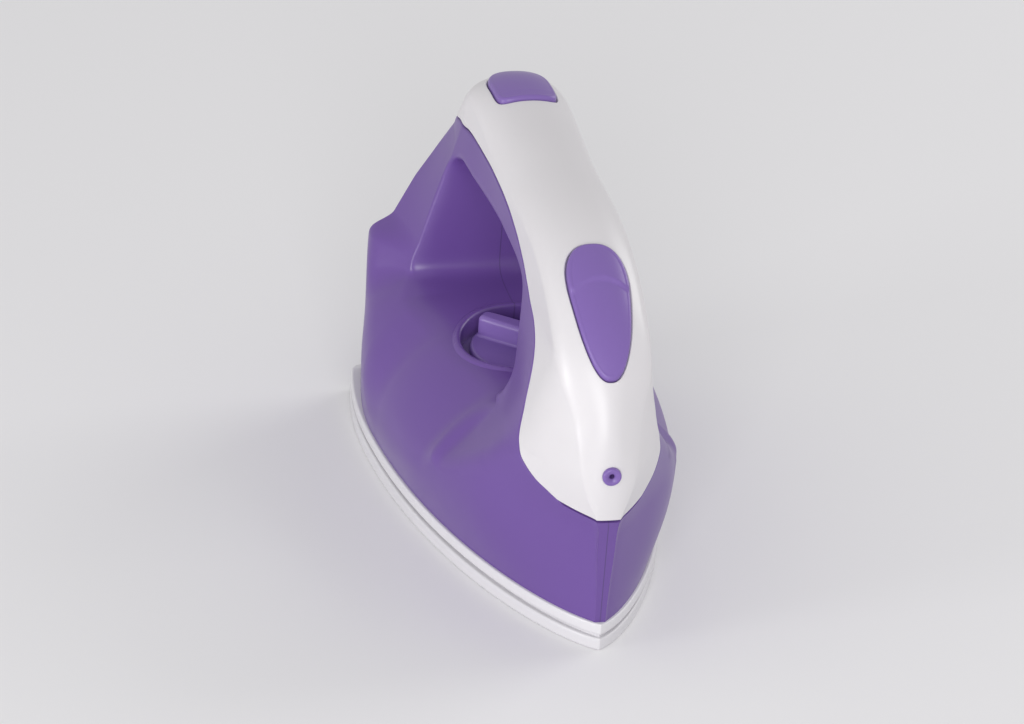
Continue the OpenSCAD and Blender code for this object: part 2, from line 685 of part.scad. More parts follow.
// Pan-head screw with a cross recess, head down, its seat at z = 0
module screw(length) {
    difference() {
        union() {
            translate([0, 0, -screw_head_h]) cylinder(h = screw_head_h, r = screw_head_r);
            translate([0, 0, -0.5]) cylinder(h = length + 0.5, r = screw_r);
        }
        for (a = [0, 90])
            rotate(a) translate([-screw_head_r * 0.6, -screw_head_r * 0.125, -screw_head_h * 1.5])
                cube([screw_head_r * 1.2, screw_head_r * 0.25, screw_head_h]);
    }
}

module dial_screw() {
    color(steel) translate([dial_x, 0, spindle_low - washer_t]) screw(dial_screw_l);
}

module steam_button() {
    color(purple) button(0);
}

module rear_button() {
    color(purple) button(1);
}

module steam_button_spring() {
    color(steel) spring(0);
}

module rear_button_spring() {
    color(steel) spring(1);
}

module body_screws() {
    color(steel) for (p = body_screw_spots)
        translate([half_l - p[0], body_seat, p[1]]) rotate([90, 0, 0]) screw(body_screw_l);
}

module sole_screws() {
    color(steel) for (p = sole_screw_spots)
        for (s = [-1, 1])
            translate([half_l - p[0], s * p[1], sole_seat]) screw(sole_screw_l);
}

soleplate();
sole_skirt();
body_left();
body_right();
top_cover();
spray_nozzle();
temperature_dial();
dial_washer();
dial_screw();
steam_button();
steam_button_spring();
rear_button();
rear_button_spring();
body_screws();
sole_screws();
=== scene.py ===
"""Toy iron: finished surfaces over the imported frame, lit and seen as in the photograph.

Lengths in the form functions are millimetres: d is the distance behind the nose tip, z the height,
and a form is scaled to metres when its mesh is made.
"""

import bpy
import numpy as np
from mathutils import Matrix, Vector


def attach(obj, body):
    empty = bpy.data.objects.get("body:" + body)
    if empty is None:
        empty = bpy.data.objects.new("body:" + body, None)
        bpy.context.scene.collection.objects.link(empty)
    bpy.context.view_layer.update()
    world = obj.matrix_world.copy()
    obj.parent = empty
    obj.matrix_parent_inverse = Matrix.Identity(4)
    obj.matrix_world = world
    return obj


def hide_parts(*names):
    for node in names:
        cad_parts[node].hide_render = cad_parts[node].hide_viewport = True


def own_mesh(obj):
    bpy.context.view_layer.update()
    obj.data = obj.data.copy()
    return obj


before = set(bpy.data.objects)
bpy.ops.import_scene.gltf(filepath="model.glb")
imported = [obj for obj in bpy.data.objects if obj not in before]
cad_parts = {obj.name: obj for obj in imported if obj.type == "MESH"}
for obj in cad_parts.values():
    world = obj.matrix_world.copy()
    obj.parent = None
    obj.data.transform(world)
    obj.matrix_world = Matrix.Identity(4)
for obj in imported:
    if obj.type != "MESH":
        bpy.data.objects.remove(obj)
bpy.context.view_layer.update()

# A millimetre in the frame's unit
MM = 0.001

# Overall sizes, as in the part's source; lengths are in millimetres but for the studio and the camera
IRON_L = 152.0
IRON_W = 75.0
IRON_H = 105.0
HALF_L = IRON_L / 2
HALF_W = IRON_W / 2

# Sole: plate, groove over it, top of the pale rim, and the outline from its widest place to the heel
SOLE_T = 3.4
GROOVE_H = 1.2
GROOVE_D = 1.8
BODY_Z = 7.6
HEEL_RUN = 34.0
HEEL_TAPER = 4.6
PEAK = IRON_L - HEEL_RUN
PLAN_POWER = 0.75
# Rounded corner of the sole at the heel: its run and its depth
SOLE_CORNER_RUN = 3.4
SOLE_CORNER_W = 3.2
# Half-width of the sole about a millimetre behind the nose
NOSE_RISE = 1.714
# Rounded edges of the plate and of the rim
PLATE_ROUND = 0.7
RIM_ROUND = 0.6

# Underside: two rows of blind steam holes and two pairs of screw seats
STEAM_ROWS = 8
STEAM_FROM = 46.0
STEAM_TO = IRON_L - 38
STEAM_INSET = 9.0
STEAM_R = 1.6
STEAM_DEPTH = 1.2
SOLE_SCREWS = ((34.16, 9.375), (127.8, 21.6))
SOLE_SEAT_R = 3.0
SOLE_SEAT_DEPTH = 2.4
# Broken edge of these holes
HOLE_BREAK = 0.25

# Side view: set-backs from the sole, front stem, crown, tail and hand hole
NOSE_BACK = 1.5
HEEL_BACK = 1.0
STEM_Z = 34.0
CROWN_RUN = 74.0
CROWN_RAKE = 0.05
CROWN_POWER = 0.8
TAIL_RUN = 35.0
TAIL_Z = 56.0
TAIL_POWER = 0.74
FRONT_H = IRON_H - STEM_Z - CROWN_RAKE * (IRON_L - TAIL_RUN - NOSE_BACK)
HOLE_FRONT = 61.0
HEEL_T = 22.0
HOLE_REAR = IRON_L - HEEL_T
DECK_Z = 44.5
GRIP_Z = 81.0
HOLE_CORNER = 9

# Outer edge round the ring: shares of its sides, and angles in degrees, where one curve meets the next
STEM_END = 0.3
TOP_FROM = 0.35
TOP_TO = 0.65
TAIL_END = 0.4
FRONT_TURN = 50
TAIL_TURN = 45

# Width of the body: inset from the sole, swell of the flanks, handle, shoulder and roof of the deck
BODY_INSET = 0.9
HEEL_INSET = 1.8
SWELL = 4.2
SWELL_H = 40.0
FLANK_TOP = IRON_H - 21
FLANK_TOP_SOFT = 14.0
HANDLE_W = 26.0
SHOULDER_Z = 49.0
ROOF_Z = DECK_Z + 3.5
ROOF_W = HALF_W + 2.2
# Heel wall: its turn from front to rear, both slopes and where they end, its ledge and its foot's fillet
HEEL_TURN = HEEL_T - 2
HEEL_FRONT_SLOPE = 0.25
HEEL_FRONT_TOP = IRON_H - 14
HEEL_REAR_SLOPE = 0.5
HEEL_REAR_TOP = IRON_H - 25
HEEL_LEAN = 2.0
LEDGE_W = 5.6
HEEL_OVER_ROOF = 1.0
HEEL_FOOT_SOFT = 5.0
# Front pillar: where it starts to spread, how far and how fast, and its brow over the deck
PILLAR_FOOT = DECK_Z + 6.5
PILLAR_SOFT = 6.0
PILLAR_SPREAD = 0.5
PILLAR_FLARE = 0.014
PILLAR_FREE = 0.8
BROW_W = 5.0
# Deck: how it stops limiting the width above itself, ahead of the hole and behind it
DECK_FREE_W = 70.0
AHEAD_FROM = HOLE_FRONT - 3
AHEAD_SOFT = 10.0
AHEAD_GAIN = 1.5
BEHIND_FROM = HOLE_REAR - 10
BEHIND_SOFT = 20.0
# Fillet between these forms, least half-width, heel's upright corner and the power of round edges
BLEND = 3.0
LEAST_W = 0.4
CORNER_R = 2.2
ROUND_POWER = 2.2

# Spans over which a form comes in or goes out, along the length or the height
SWELL_IN_D = (4.0, 40.0)
SWELL_OUT_D = (HOLE_REAR - 35, IRON_L - 4)
HEEL_INSET_D = (PEAK - 6, IRON_L - 4)
HEEL_INSET_Z = (STEM_Z - 6, SHOULDER_Z)
LEDGE_D = (HOLE_REAR - 2, IRON_L - 3)
LEDGE_Z = (SHOULDER_Z, SHOULDER_Z + 6)
BROW_D = (HOLE_FRONT * 0.5, HOLE_FRONT * 1.05)
BROW_Z = (DECK_Z + 3, GRIP_Z - 3)
PILLAR_FREE_D = (HOLE_FRONT - 6, HOLE_FRONT + 14)
HANDLE_D = (HOLE_FRONT + 4, HOLE_REAR - 4)
DECK_FREE_Z = (DECK_Z - 1, DECK_Z + 7)

# Values that grow along the height or the length: a first value, then rows of (from, to, gain)
FACET_W = (1.2, (BODY_Z, STEM_Z, 1.2), (STEM_Z, STEM_Z + 18, 2.0))
FLANK_LEAD = (1.2, (STEM_Z - 2, STEM_Z + 16, 4.5), (IRON_H - 45, IRON_H - 20, 8.0))
FLANK_SOFT = (1.0, (STEM_Z - 6, STEM_Z + 10, 2.5))
ROOF_POWER = (1.7, (HOLE_FRONT, HOLE_FRONT + 40, 0.5), (HOLE_REAR - 30, HOLE_REAR, 0.6))

# Curves along the ring, as rows of (u, value): first, the round of a section at the outer edge
OUTER_ROUND = [[0, 0.01], [1.3, 0.01], [1.36, 1.5], [1.5, 4], [1.75, 8], [2, 11], [2.35, 12],
               [2.6, 9.5], [2.75, 8.5], [3, 8], [3.25, 4], [3.5, 0.01], [4, 0.01]]
# Round of a section at the hole, and its power
HOLE_ROUND = [[0, 3], [0.03, 3], [0.15, 4], [0.9, 5], [2, 5], [2.85, 5], [3.05, 3], [4, 3]]
HOLE_POWER = [[0, 4.5], [0.03, 4.5], [0.15, 3], [2.85, 3], [3.05, 4.5], [4, 4.5]]
# Share of a section at which the cover begins
STRIP_EDGE = [[0, 0.5], [1.2, 0.5], [1.31, 0.85], [1.33, 0.757], [1.337, 0.704], [1.35, 0.652],
              [1.37, 0.6], [1.4, 0.556], [1.44, 0.523], [1.5, 0.494], [1.6, 0.466], [1.7, 0.425],
              [1.8, 0.355], [1.9, 0.25], [2, 0.22], [2.1, 0.263], [2.25, 0.376], [2.4, 0.468],
              [2.5, 0.475], [2.7, 0.434], [2.85, 0.44], [3, 0.58], [3.05, 0.69], [3.1, 0.82],
              [3.15, 0.93], [3.5, 0.5], [4, 0.5]]
# Bend of the sections in the front
SECTION_BEND = [[0.8, 1], [1.2, 1.8], [1.42, 1.8], [1.9, 1]]

# Top cover: its ends on the ring, its wall, the rebate under it, and half the width of a step in the ring
COVER_FROM = 1.318
COVER_TO = 3.1
COVER_T = 2.0
REBATE = 2.3
STEP_U = 0.0015
# End of the cover's dense rows in the lobe at the nose
LOBE_TO = 1.42
# Side wall of the rebate, then the open seam and the cover's own rounded edge
EDGE_GAP = 0.25
COVER_INSET = EDGE_GAP + 0.35 + 0.22
# Rounded edge of the cover, as rows of (out, down)
COVER_ROUND = 0.2
COVER_EDGE = [(0, 0), (0.06, 0.01), (0.13, 0.05), (0.18, 0.11), (COVER_ROUND, 0.2), (COVER_ROUND, COVER_T)]
# Rounded edge of the body along the cover: radius, places of its rows, and the room that they take
EDGE_R = 0.45
EDGE_STEPS = np.array([0.45, 0.3, 0.18, 0.08, 0.02, 0])
EDGE_ROOM = 0.5
# Share of a section that the rows behind the cover keep to, and the last row before the outer edge
REAR_ROW = 0.8
LAST_ROW = 0.9995

# Dial in its pocket: place, heights, disc, spindle and grip bar (half-length, half-width, angle in degrees)
DIAL_X = -16.0
DIAL_R = 16.0
DIAL_T = 3.0
DIAL_Z = 38.8
DIAL_ROUND = 0.9
DIAL_BREAK = 0.3
DIAL_FACE_R = 12.0
DIAL_CROWN = 0.1
SPINDLE_R = 4.0
SPINDLE_FOOT = 35.7
BAR_L = 15.0
BAR_W = 2.5
BAR_H = 6.0
BAR_FOOT = 0.8
BAR_FOOT_ENDS = 0.3
BAR_ROUND = 1.5
BAR_ROUND_SIDES = 0.8
BAR_POWER = 0.32
BAR_TURN = 50
# Pocket of the dial: radius, height of its floor, and the radii of the floor's rings
POCKET_R = 18.6
FLOOR_Z = 38.5
FLOOR_RINGS = (3.9, 10.0, POCKET_R)
# Bead round the pocket, as rows of (out, down)
BEAD_W = 2.2
BEAD = [(0, 0), (0.25, -0.2), (0.6, -0.45), (1.1, -0.6), (1.5, -0.6), (1.85, -0.48), (2.1, -0.22),
        (BEAD_W, 0.2)]

# Buttons, the steam button first: width, angles of both ends on the crown's curve in degrees
BUTTON_W = (16.2, 16.4)
BUTTON_ENDS = ((32.0, 68.0), (101.0, 68.0))
# Millimetres along the straight top for each degree past its end
TOP_PER_DEGREE = 0.35
# Outlines: the egg's power, lean and widest share, and the rear button's power at its front and its rear
EGG_POWER = 2.5
EGG_LEAN = 0.28
EGG_WIDEST = 1.0655
REAR_POWERS = (6.0, 2.6)
# Caps: stand over the cover, gap, edge, fall to the sides as a share of the handle's width, and its limit
PROUD = 1.0
BUTTON_GAP = 0.45
CAP_FILLET = 1.1
CAP_FALL = (0.423, 0.327)
CAP_LIMIT = 0.95
# Arc-shaped step on the egg: place and bow as shares of its half-length, rise, run to each side, and sink
ARC_AT = 0.42
ARC_BOW = 0.2
ARC_RISE = 0.7
ARC_RUN = 1.0
ARC_SINK = 0.3
# Lip, stem and travel; the opening in the body has room for the lip, and reaches this deep
LIP_W = 1.2
LIP_T = 1.6
LIP_DEPTH = 5.34
LIP_ROOM = 0.6
STEM_R = 2.2
STEM_DEPTH = 16.2
OPENING_DEPTH = 12.0

# Springs under the buttons
SPRING_H = 6.0
SPRING_R = 4.0
WIRE_R = 0.4
SPRING_TURNS = 4
SPRING_GAP = 0.1

# Spray nozzle: place, radii, stand before the front, countersink, bore and length
NOZZLE_Z = 50.0
NOZZLE_R = 2.5
NOZZLE_HOLE_R = 0.7
NOZZLE_PROUD = 0.7
NOZZLE_ROUND = 0.5
NOZZLE_SINK_R = 1.3
NOZZLE_SINK = (0.12, 0.7)
NOZZLE_BORE = 4.0
NOZZLE_L = 7.9
# Gap round the nozzle in the body, and how far behind the nose tip its opening reaches
NOZZLE_GAP = 0.04
NOZZLE_CUT = 12.0

# Screw seats in the left half, at (d, z): their floor's distance from the middle plane and their radius
BODY_SCREWS = [(48.8, 18.16), (141.0, 20.08), (141.0, 64.16), (46.97, 56.5), (112.4, 18.16)]
BODY_SEAT = 8.0
SEAT_R = 3.0
# Their broken edge, as rows of (out, down)
SEAT_BREAK = 0.4
SEAT_EDGE = [(0, 0), (0.15, 0.04), (0.3, 0.14), (SEAT_BREAK, 0.35)]
# Distance from the middle plane beyond which the flank is cut for them
SEAT_FROM = 9.0

# Cuts in a mesh: distance within which a point lies on one, and halvings of an edge that crosses it
NEAR = 0.001
HALVINGS = 22
# Least doubled area of a triangle, and a guard against division by 0
LEAST_AREA = 1e-7
TINY = 1e-12
# Angle of a crisp edge, in degrees
CRISP = 38
# Rows of a mesh: body from the hole to the cover's edge and on to the outer edge, cover, caps and sole
BODY_ROWS = 52
SUNK_ROWS = 46
COVER_ROWS = 121
CAP_ROWS = 46
CAP_POINTS = 241
SOLE_POINTS = 220
SOLE_ROWS = 141
# How rows crowd at the hole, at the outer edge and at the sole's nose, and spread in the middle of a cap
HOLE_CROWD = 1.5
OUTER_CROWD = 1.6
NOSE_CROWD = 0.7
CAP_SPREAD = 0.8

# Studio, in metres and watts: floor, sky, and lights as rows of (name, place, size, power)
FLOOR_HALF = 3
SKY_STRENGTH = 0.62
LIGHT_AIM = (0, 0, 0.05)
LIGHTS = (("key", (1.25, -0.35, 0.55), 0.6, 8.0),
          ("side", (0.35, -1.1, 0.16), 0.3, 3.8),
          ("fill", (-0.5, 1.2, 0.7), 0.8, 5.0))

# Camera on the photograph's line of sight: its right and up directions, aim, distance, lens and clipping
CAMERA_RIGHT = (0.229, 0.971, 0.075)
CAMERA_UP = (-0.462, 0.0215, 0.887)
CAMERA_AIM = (-0.004, 0.0, 0.048)
AIM_LEFT = 0.008
AIM_DOWN = 0.004
CAMERA_FAR = 3.0
LENS_MM = 398
SENSOR_MM = 36
CLIP_START = 0.05
CLIP_END = 20


# Curves and widths of the body

def smooth(a, b, x):
    """Smooth step from 0 at a to 1 at b."""
    t = np.clip((x - a) / (b - a), 0, 1)
    return t * t * (3 - 2 * t)


def soft_min(a, b, k):
    """The smaller of a and b, rounded over a width of k."""
    h = np.clip(0.5 + 0.5 * (b - a) / k, 0, 1)
    return b * (1 - h) + a * h - k * h * (1 - h)


def soft_max(a, b, k):
    """The larger of a and b, rounded over a width of k."""
    return -soft_min(-a, -b, k)


def grow(rows, x):
    """A first value plus gains: each row (from, to, gain) adds its gain along a smooth step."""
    value = rows[0]
    for a, b, gain in rows[1:]:
        value = value + gain * smooth(a, b, x)
    return value


def arch(t, n):
    """Superellipse arch of power n: 1 at t = 0, falling to 0 at t = 1 and t = -1."""
    return np.maximum(1 - np.abs(t) ** n, 0) ** (1 / n)


def bent(c, p):
    """Power of a cosine or sine that keeps its sign, which bends a circle to a superellipse."""
    return np.sign(c) * np.abs(c) ** p


def quarter(r, n):
    """Quarter round of radius r in n points: pairs from (r, 0) to (0, r) along a circle about (r, r)."""
    return [(r * (1 - np.sin(a)), r * (1 - np.cos(a))) for a in np.radians(np.linspace(0, 90, n))]


def table(u, rows):
    """Smooth curve through rows of (place, value): cubic pieces, whose slope at a row is the harmonic
    mean of the slopes on both sides, or 0 where they differ in sign."""
    x, v = np.array(rows, float).T
    h = np.diff(x)
    m = np.diff(v) / h
    both = m[:-1] * m[1:]
    mid = np.where(both > 0, 2 * both / np.where(both > 0, m[:-1] + m[1:], 1), 0)
    s = np.concatenate([[m[0]], mid, [m[-1]]])
    u = np.asarray(u, float)
    i = np.clip(np.searchsorted(x, u, side="right") - 1, 0, len(h) - 1)
    t = np.clip((u - x[i]) / h[i], 0, 1)
    return (v[i] * (1 + 2 * t) * (1 - t) ** 2 + h[i] * s[i] * t * (1 - t) ** 2
            + v[i + 1] * t * t * (3 - 2 * t) + h[i] * s[i + 1] * t * t * (t - 1))


def plan(d):
    """Half-width of the sole: a pointed arch in front of its widest place, a parabola behind it."""
    front = HALF_W * np.maximum(1 - (1 - np.clip(d, 0, PEAK) / PEAK) ** 2, 0) ** PLAN_POWER
    return np.where(d < PEAK, front, HALF_W - HEEL_TAPER * (np.maximum(d - PEAK, 0) / HEEL_RUN) ** 2)


def quadrant(a, power):
    """Cosine and sine of an angle in degrees, raised to a power: a superellipse quarter."""
    c, s = np.maximum(np.cos(np.radians(a)), 0), np.maximum(np.sin(np.radians(a)), 0)
    return c ** power, s ** power


def front_curve(a):
    """Superellipse quarter from the front stem to the handle's top, by an angle in degrees."""
    c, s = quadrant(a, CROWN_POWER)
    d = NOSE_BACK + CROWN_RUN * (1 - c)
    return d, STEM_Z + FRONT_H * s + CROWN_RAKE * (d - NOSE_BACK)


def tail_curve(a):
    """Superellipse quarter from the heel to the handle's top, by an angle in degrees."""
    c, s = quadrant(a, TAIL_POWER)
    return IRON_L - TAIL_RUN + (TAIL_RUN - HEEL_BACK) * c, TAIL_Z + (IRON_H - TAIL_Z) * s


def front_back(z):
    """Distance of the front curve behind the nose tip at height z."""
    q = np.clip((z - STEM_Z) / FRONT_H, 0, 1)
    return NOSE_BACK + CROWN_RUN * (1 - arch(q, 2 / CROWN_POWER))


def flank_width(d, z):
    """Half-width that follows the sole, set back with the front curve: the sole's less an inset, plus a sine
    swell, and never less than a flat facet at the nose."""
    back = front_back(soft_min(z, FLANK_TOP, FLANK_TOP_SOFT))
    bulge = SWELL * np.sin(np.pi * np.clip((z - BODY_Z) / SWELL_H, 0, 1)) * smooth(*SWELL_IN_D, d) * (
        1 - smooth(*SWELL_OUT_D, d))
    inset = BODY_INSET + HEEL_INSET * smooth(*HEEL_INSET_D, d) * (1 - smooth(*HEEL_INSET_Z, z))
    side = plan(d - back + grow(FLANK_LEAD, z)) - inset + bulge
    return soft_max(side, grow(FACET_W, z), grow(FLANK_SOFT, z))


def roof_width(d, z):
    """Half-width of the deck's rounded roof, a superellipse that grows boxier towards the heel."""
    q = np.clip((z - BODY_Z) / (ROOF_Z - BODY_Z), 0, 1)
    return ROOF_W * arch(q, grow(ROOF_POWER, d))


def heel_width(d, z):
    """Half-width of the heel wall, which slopes more at its rear, has a ledge there and stands on the
    roof."""
    t = np.clip((d - HOLE_REAR) / HEEL_TURN, 0, 1)
    ledge = LEDGE_W * (1 - smooth(*LEDGE_Z, z)) * smooth(*LEDGE_D, d)
    front = HEEL_FRONT_SLOPE * np.maximum(HEEL_FRONT_TOP - z, 0)
    rear = np.maximum(HEEL_REAR_SLOPE * (HEEL_REAR_TOP - z), -HEEL_LEAN)
    wall = HANDLE_W / 2 + ((1 - t) * front + t * rear) + ledge
    return soft_max(wall, roof_width(d, z) + HEEL_OVER_ROOF, HEEL_FOOT_SOFT)


def upper_width(d, z):
    """Half-width of the upper body: the front pillar, the handle and the heel wall, one into the next."""
    low = soft_max(PILLAR_FOOT - z, 0 * z, PILLAR_SOFT)
    brow = BROW_W * (1 - smooth(*BROW_D, d)) * (1 - smooth(*BROW_Z, z))
    spread = HANDLE_W / 2 + PILLAR_SPREAD * low + PILLAR_FLARE * low * low
    front = spread + brow + PILLAR_FREE * low * smooth(*PILLAR_FREE_D, d)
    return front + (heel_width(d, z) - front) * smooth(*HANDLE_D, d)


def deck_width(d, z):
    """Half-width of the rounded deck under the hand hole, let go above it and outside the hole."""
    ahead = soft_max(AHEAD_FROM - d, 0 * d, AHEAD_SOFT)
    behind = soft_max(d - BEHIND_FROM, 0 * d, BEHIND_SOFT)
    return roof_width(d, z) + DECK_FREE_W * smooth(*DECK_FREE_Z, z) + AHEAD_GAIN * ahead + behind


def half_width(d, z):
    """Half-width of the body: the least of flank, upper body and deck, rounded in at the heel's corners."""
    t = 1 - np.clip((IRON_L - HEEL_BACK - d) / CORNER_R, 0, 1)
    sides = soft_min(flank_width(d, z), upper_width(d, z), BLEND)
    return arch(t, ROUND_POWER) * np.maximum(soft_min(sides, deck_width(d, z), BLEND), LEAST_W)


# Ring of sections round the hand hole

def hole_edge(u):
    """Edge of the hand hole in side view: a square about its middle, drawn in to a superellipse; u runs 0
    to 4 along deck, front, top and rear."""
    s, t = np.floor(u), u - np.floor(u)
    a = np.select([s == 0, s == 1, s == 2], [1 - 2 * t, -1 + 0 * t, -1 + 2 * t], 1 + 0 * t)
    b = np.select([s == 0, s == 1, s == 2], [-1 + 0 * t, -1 + 2 * t, 1 + 0 * t], 1 - 2 * t)
    n = (np.abs(a) ** HOLE_CORNER + np.abs(b) ** HOLE_CORNER) ** (1 / HOLE_CORNER)
    return ((HOLE_FRONT + HOLE_REAR) / 2 + (HOLE_REAR - HOLE_FRONT) / 2 * a / n,
            (DECK_Z + GRIP_Z) / 2 + (GRIP_Z - DECK_Z) / 2 * b / n)


def outer_edge(u):
    """Outer edge of the body in side view, with the same u: straight bottom and stem, the front curve, a
    straight top, the tail curve and a straight heel."""
    s, t = np.floor(u), u - np.floor(u)
    rear = IRON_L - HEEL_BACK
    rise = front_curve(np.clip((t - STEM_END) / (1 - STEM_END), 0, 1) * FRONT_TURN)
    shoulder = front_curve(FRONT_TURN + np.clip(t / TOP_FROM, 0, 1) * (90 - FRONT_TURN))
    top0, top1 = front_curve(90.0), tail_curve(90.0)
    k = (t - TOP_FROM) / (TOP_TO - TOP_FROM)
    fall = tail_curve(90 - np.clip((t - TOP_TO) / (1 - TOP_TO), 0, 1) * (90 - TAIL_TURN))
    heel = tail_curve(TAIL_TURN - np.clip(t / TAIL_END, 0, 1) * TAIL_TURN)
    cases = [s == 0, (s == 1) & (t < STEM_END), s == 1, (s == 2) & (t < TOP_FROM),
             (s == 2) & (t < TOP_TO), s == 2, t < TAIL_END]
    d = np.select(cases, [rear + (NOSE_BACK - rear) * t, NOSE_BACK + 0 * t, rise[0], shoulder[0],
                          top0[0] + (top1[0] - top0[0]) * k, fall[0], heel[0]], rear + 0 * t)
    z = np.select(cases, [BODY_Z + 0 * t, BODY_Z + (STEM_Z - BODY_Z) * t / STEM_END, rise[1], shoulder[1],
                          top0[1] + (top1[1] - top0[1]) * k, fall[1], heel[1]],
                  TAIL_Z + (BODY_Z - TAIL_Z) * (t - TAIL_END) / (1 - TAIL_END))
    return d, z


def ring_len(u):
    """Length of the section at u in side view, from the hole to the outer edge."""
    (hd, hz), (od, oz) = hole_edge(u), outer_edge(u)
    return np.hypot(od - hd, oz - hz)


def ring_spot(u, r):
    """Place in side view at the share r of the section at u, from 0 at the hole to 1 at the outer edge."""
    (hd, hz), (od, oz) = hole_edge(u), outer_edge(u)
    return hd + (od - hd) * r, oz + (hz - oz) * np.maximum(1 - r, 0) ** table(u, SECTION_BEND)


def ring_y(u, r):
    """Half-width at that place, rounded in at the hole and at the outer edge."""
    d, z = ring_spot(u, r)
    n = ring_len(u)
    inner = 1 - np.minimum(r * n / table(u, HOLE_ROUND), 1)
    outer = 1 - np.minimum((1 - r) * n / table(u, OUTER_ROUND), 1)
    return half_width(d, z) * arch(inner, table(u, HOLE_POWER)) * arch(outer, ROUND_POWER)


def sunk(u, r, s, depth):
    """Point of the section moved inwards by depth, between the share s and the outer edge: x, y, z."""
    n = ring_len(u) * (1 - s)
    d, z = ring_spot(u, s + (r - s) * (1 - depth / n))
    return np.stack(np.broadcast_arrays(HALF_L - d, ring_y(u, r) * (1 - depth / ring_y(u, s)), z), -1)


def stations(*runs):
    """Column of places along the ring, from runs of (from, to, number) that may share their ends."""
    return np.unique(np.concatenate([np.linspace(*run) for run in runs]))[:, None]


# Patches: a patch is a pair of points (n, 3) in millimetres and triangles (m, 3)

def grid(points, wrap=False):
    """Patch over a grid of points (rows, columns, 3); wrap joins the last row to the first."""
    n, m = points.shape[:2]
    i, j = np.meshgrid(np.arange(n if wrap else n - 1), np.arange(m - 1), indexing="ij")
    a, b = (i * m + j).ravel(), ((i + 1) % n * m + j).ravel()
    tris = np.concatenate([np.stack([a, b, b + 1], -1), np.stack([a, b + 1, a + 1], -1)])
    return points.reshape(-1, 3), tris


def face_normals(points, tris):
    """Normal of each triangle, as long as twice its area."""
    p = points[tris]
    return np.cross(p[:, 1] - p[:, 0], p[:, 2] - p[:, 0])


def towards(patch, way):
    """The patch with its triangles turned so that they face that way on the whole."""
    points, tris = patch
    facing = (face_normals(points, tris) @ np.array(way, float)).sum()
    return patch if facing > 0 else (points, tris[:, ::-1])


def closed(patch):
    """The patch of a closed surface, turned so that it faces outwards: its volume is then above 0."""
    points, tris = patch
    p = points[tris] - points.mean(0)
    volume = np.einsum("ij,ij->", p[:, 0], np.cross(p[:, 1], p[:, 2]))
    return patch if volume > 0 else (points, tris[:, ::-1])


def clip(patch, f):
    """What is left of a patch where f, a function of points, is above 0. Edges that cross the limit are
    halved down to where f is 0; a triangle with one corner inside leaves one triangle, and one with two
    corners inside leaves two."""
    points, tris = patch
    inside = f(points) > 0
    count = inside[tris].sum(1)
    mixed = tris[(count > 0) & (count < 3)]
    edges = np.concatenate([mixed[:, [0, 1]], mixed[:, [1, 2]], mixed[:, [2, 0]]])
    edges = edges[inside[edges[:, 0]] != inside[edges[:, 1]]]
    edges = np.unique(np.where(inside[edges[:, :1]], edges, edges[:, ::-1]), axis=0)
    lo, hi = points[edges[:, 0]], points[edges[:, 1]]
    for _ in range(HALVINGS):
        mid = (lo + hi) / 2
        kept = (f(mid) > 0)[:, None]
        lo, hi = np.where(kept, mid, lo), np.where(kept, hi, mid)
    keys = edges @ [len(points), 1]

    def cut(a, b):
        return len(points) + np.searchsorted(keys, a * len(points) + b)

    ins = inside[mixed]
    single = ins.sum(1) == 1
    odd = (ins == single[:, None]).argmax(1)
    a, b, c = np.take_along_axis(mixed, (odd[:, None] + np.arange(3)) % 3, 1).T
    a1, b1, c1 = a[single], b[single], c[single]
    a2, b2, c2 = a[~single], b[~single], c[~single]
    more = [np.stack([a1, cut(a1, b1), cut(a1, c1)], -1),
            np.stack([cut(b2, a2), b2, c2], -1),
            np.stack([cut(b2, a2), c2, cut(c2, a2)], -1)]
    tris = np.concatenate([tris[count == 3]] + more)
    points = np.concatenate([points, lo])
    used, back = np.unique(tris, return_inverse=True)
    return points[used], back.reshape(-1, 3)


def rims(patch, near):
    """Borders of a patch, among the points for which near is true: ordered chains of points, each with
    whether it closes on itself."""
    points, tris = patch
    edges = np.concatenate([tris[:, [0, 1]], tris[:, [1, 2]], tris[:, [2, 0]]])
    key = edges.min(1) * len(points) + edges.max(1)
    _, first, count = np.unique(key, return_index=True, return_counts=True)
    edges = edges[first[count == 1]]
    edges = edges[near(points)[edges].all(1)]
    after = {int(a): int(b) for a, b in edges}
    ends = set(after.values())
    starts = [a for a in after if a not in ends] + list(after)
    chains, seen = [], set()
    for a in starts:
        chain = []
        while a in after and a not in seen:
            seen.add(a)
            chain.append(a)
            a = after[a]
        if chain:
            chains.append((chain + [a], a == chain[0]))
    return chains


def unit(v):
    """Vectors scaled to length 1."""
    return v / (np.linalg.norm(v, axis=1, keepdims=True) + TINY)


def border(patch, near, profile, last=None):
    """Strip along a border: each row lies out from the patch and down from its surface by the profile's
    two numbers, and last, if given, is a function that makes the end row from the border's points."""
    points, tris = patch
    fn = face_normals(points, tris)
    normal = np.zeros_like(points)
    for k in range(3):
        np.add.at(normal, tris[:, k], fn)
    normal = unit(normal)
    strips = []
    for chain, loop in rims(patch, near):
        p, n = points[chain], normal[chain]
        if loop:
            ahead, behind = np.roll(p[:-1], -1, 0), np.roll(p[:-1], 1, 0)
            t = np.concatenate([ahead - behind, (ahead - behind)[:1]])
        else:
            t = np.gradient(p, axis=0)
        t = unit(t)
        for _ in range(3):
            t[1:-1] = (t[:-2] + 2 * t[1:-1] + t[2:]) / 4
        out = unit(np.cross(t, n))
        rows = [p + out * o - n * w for o, w in profile]
        if last is not None:
            rows.append(last(rows[-1]))
        strips.append(grid(np.stack(rows)))
    return strips


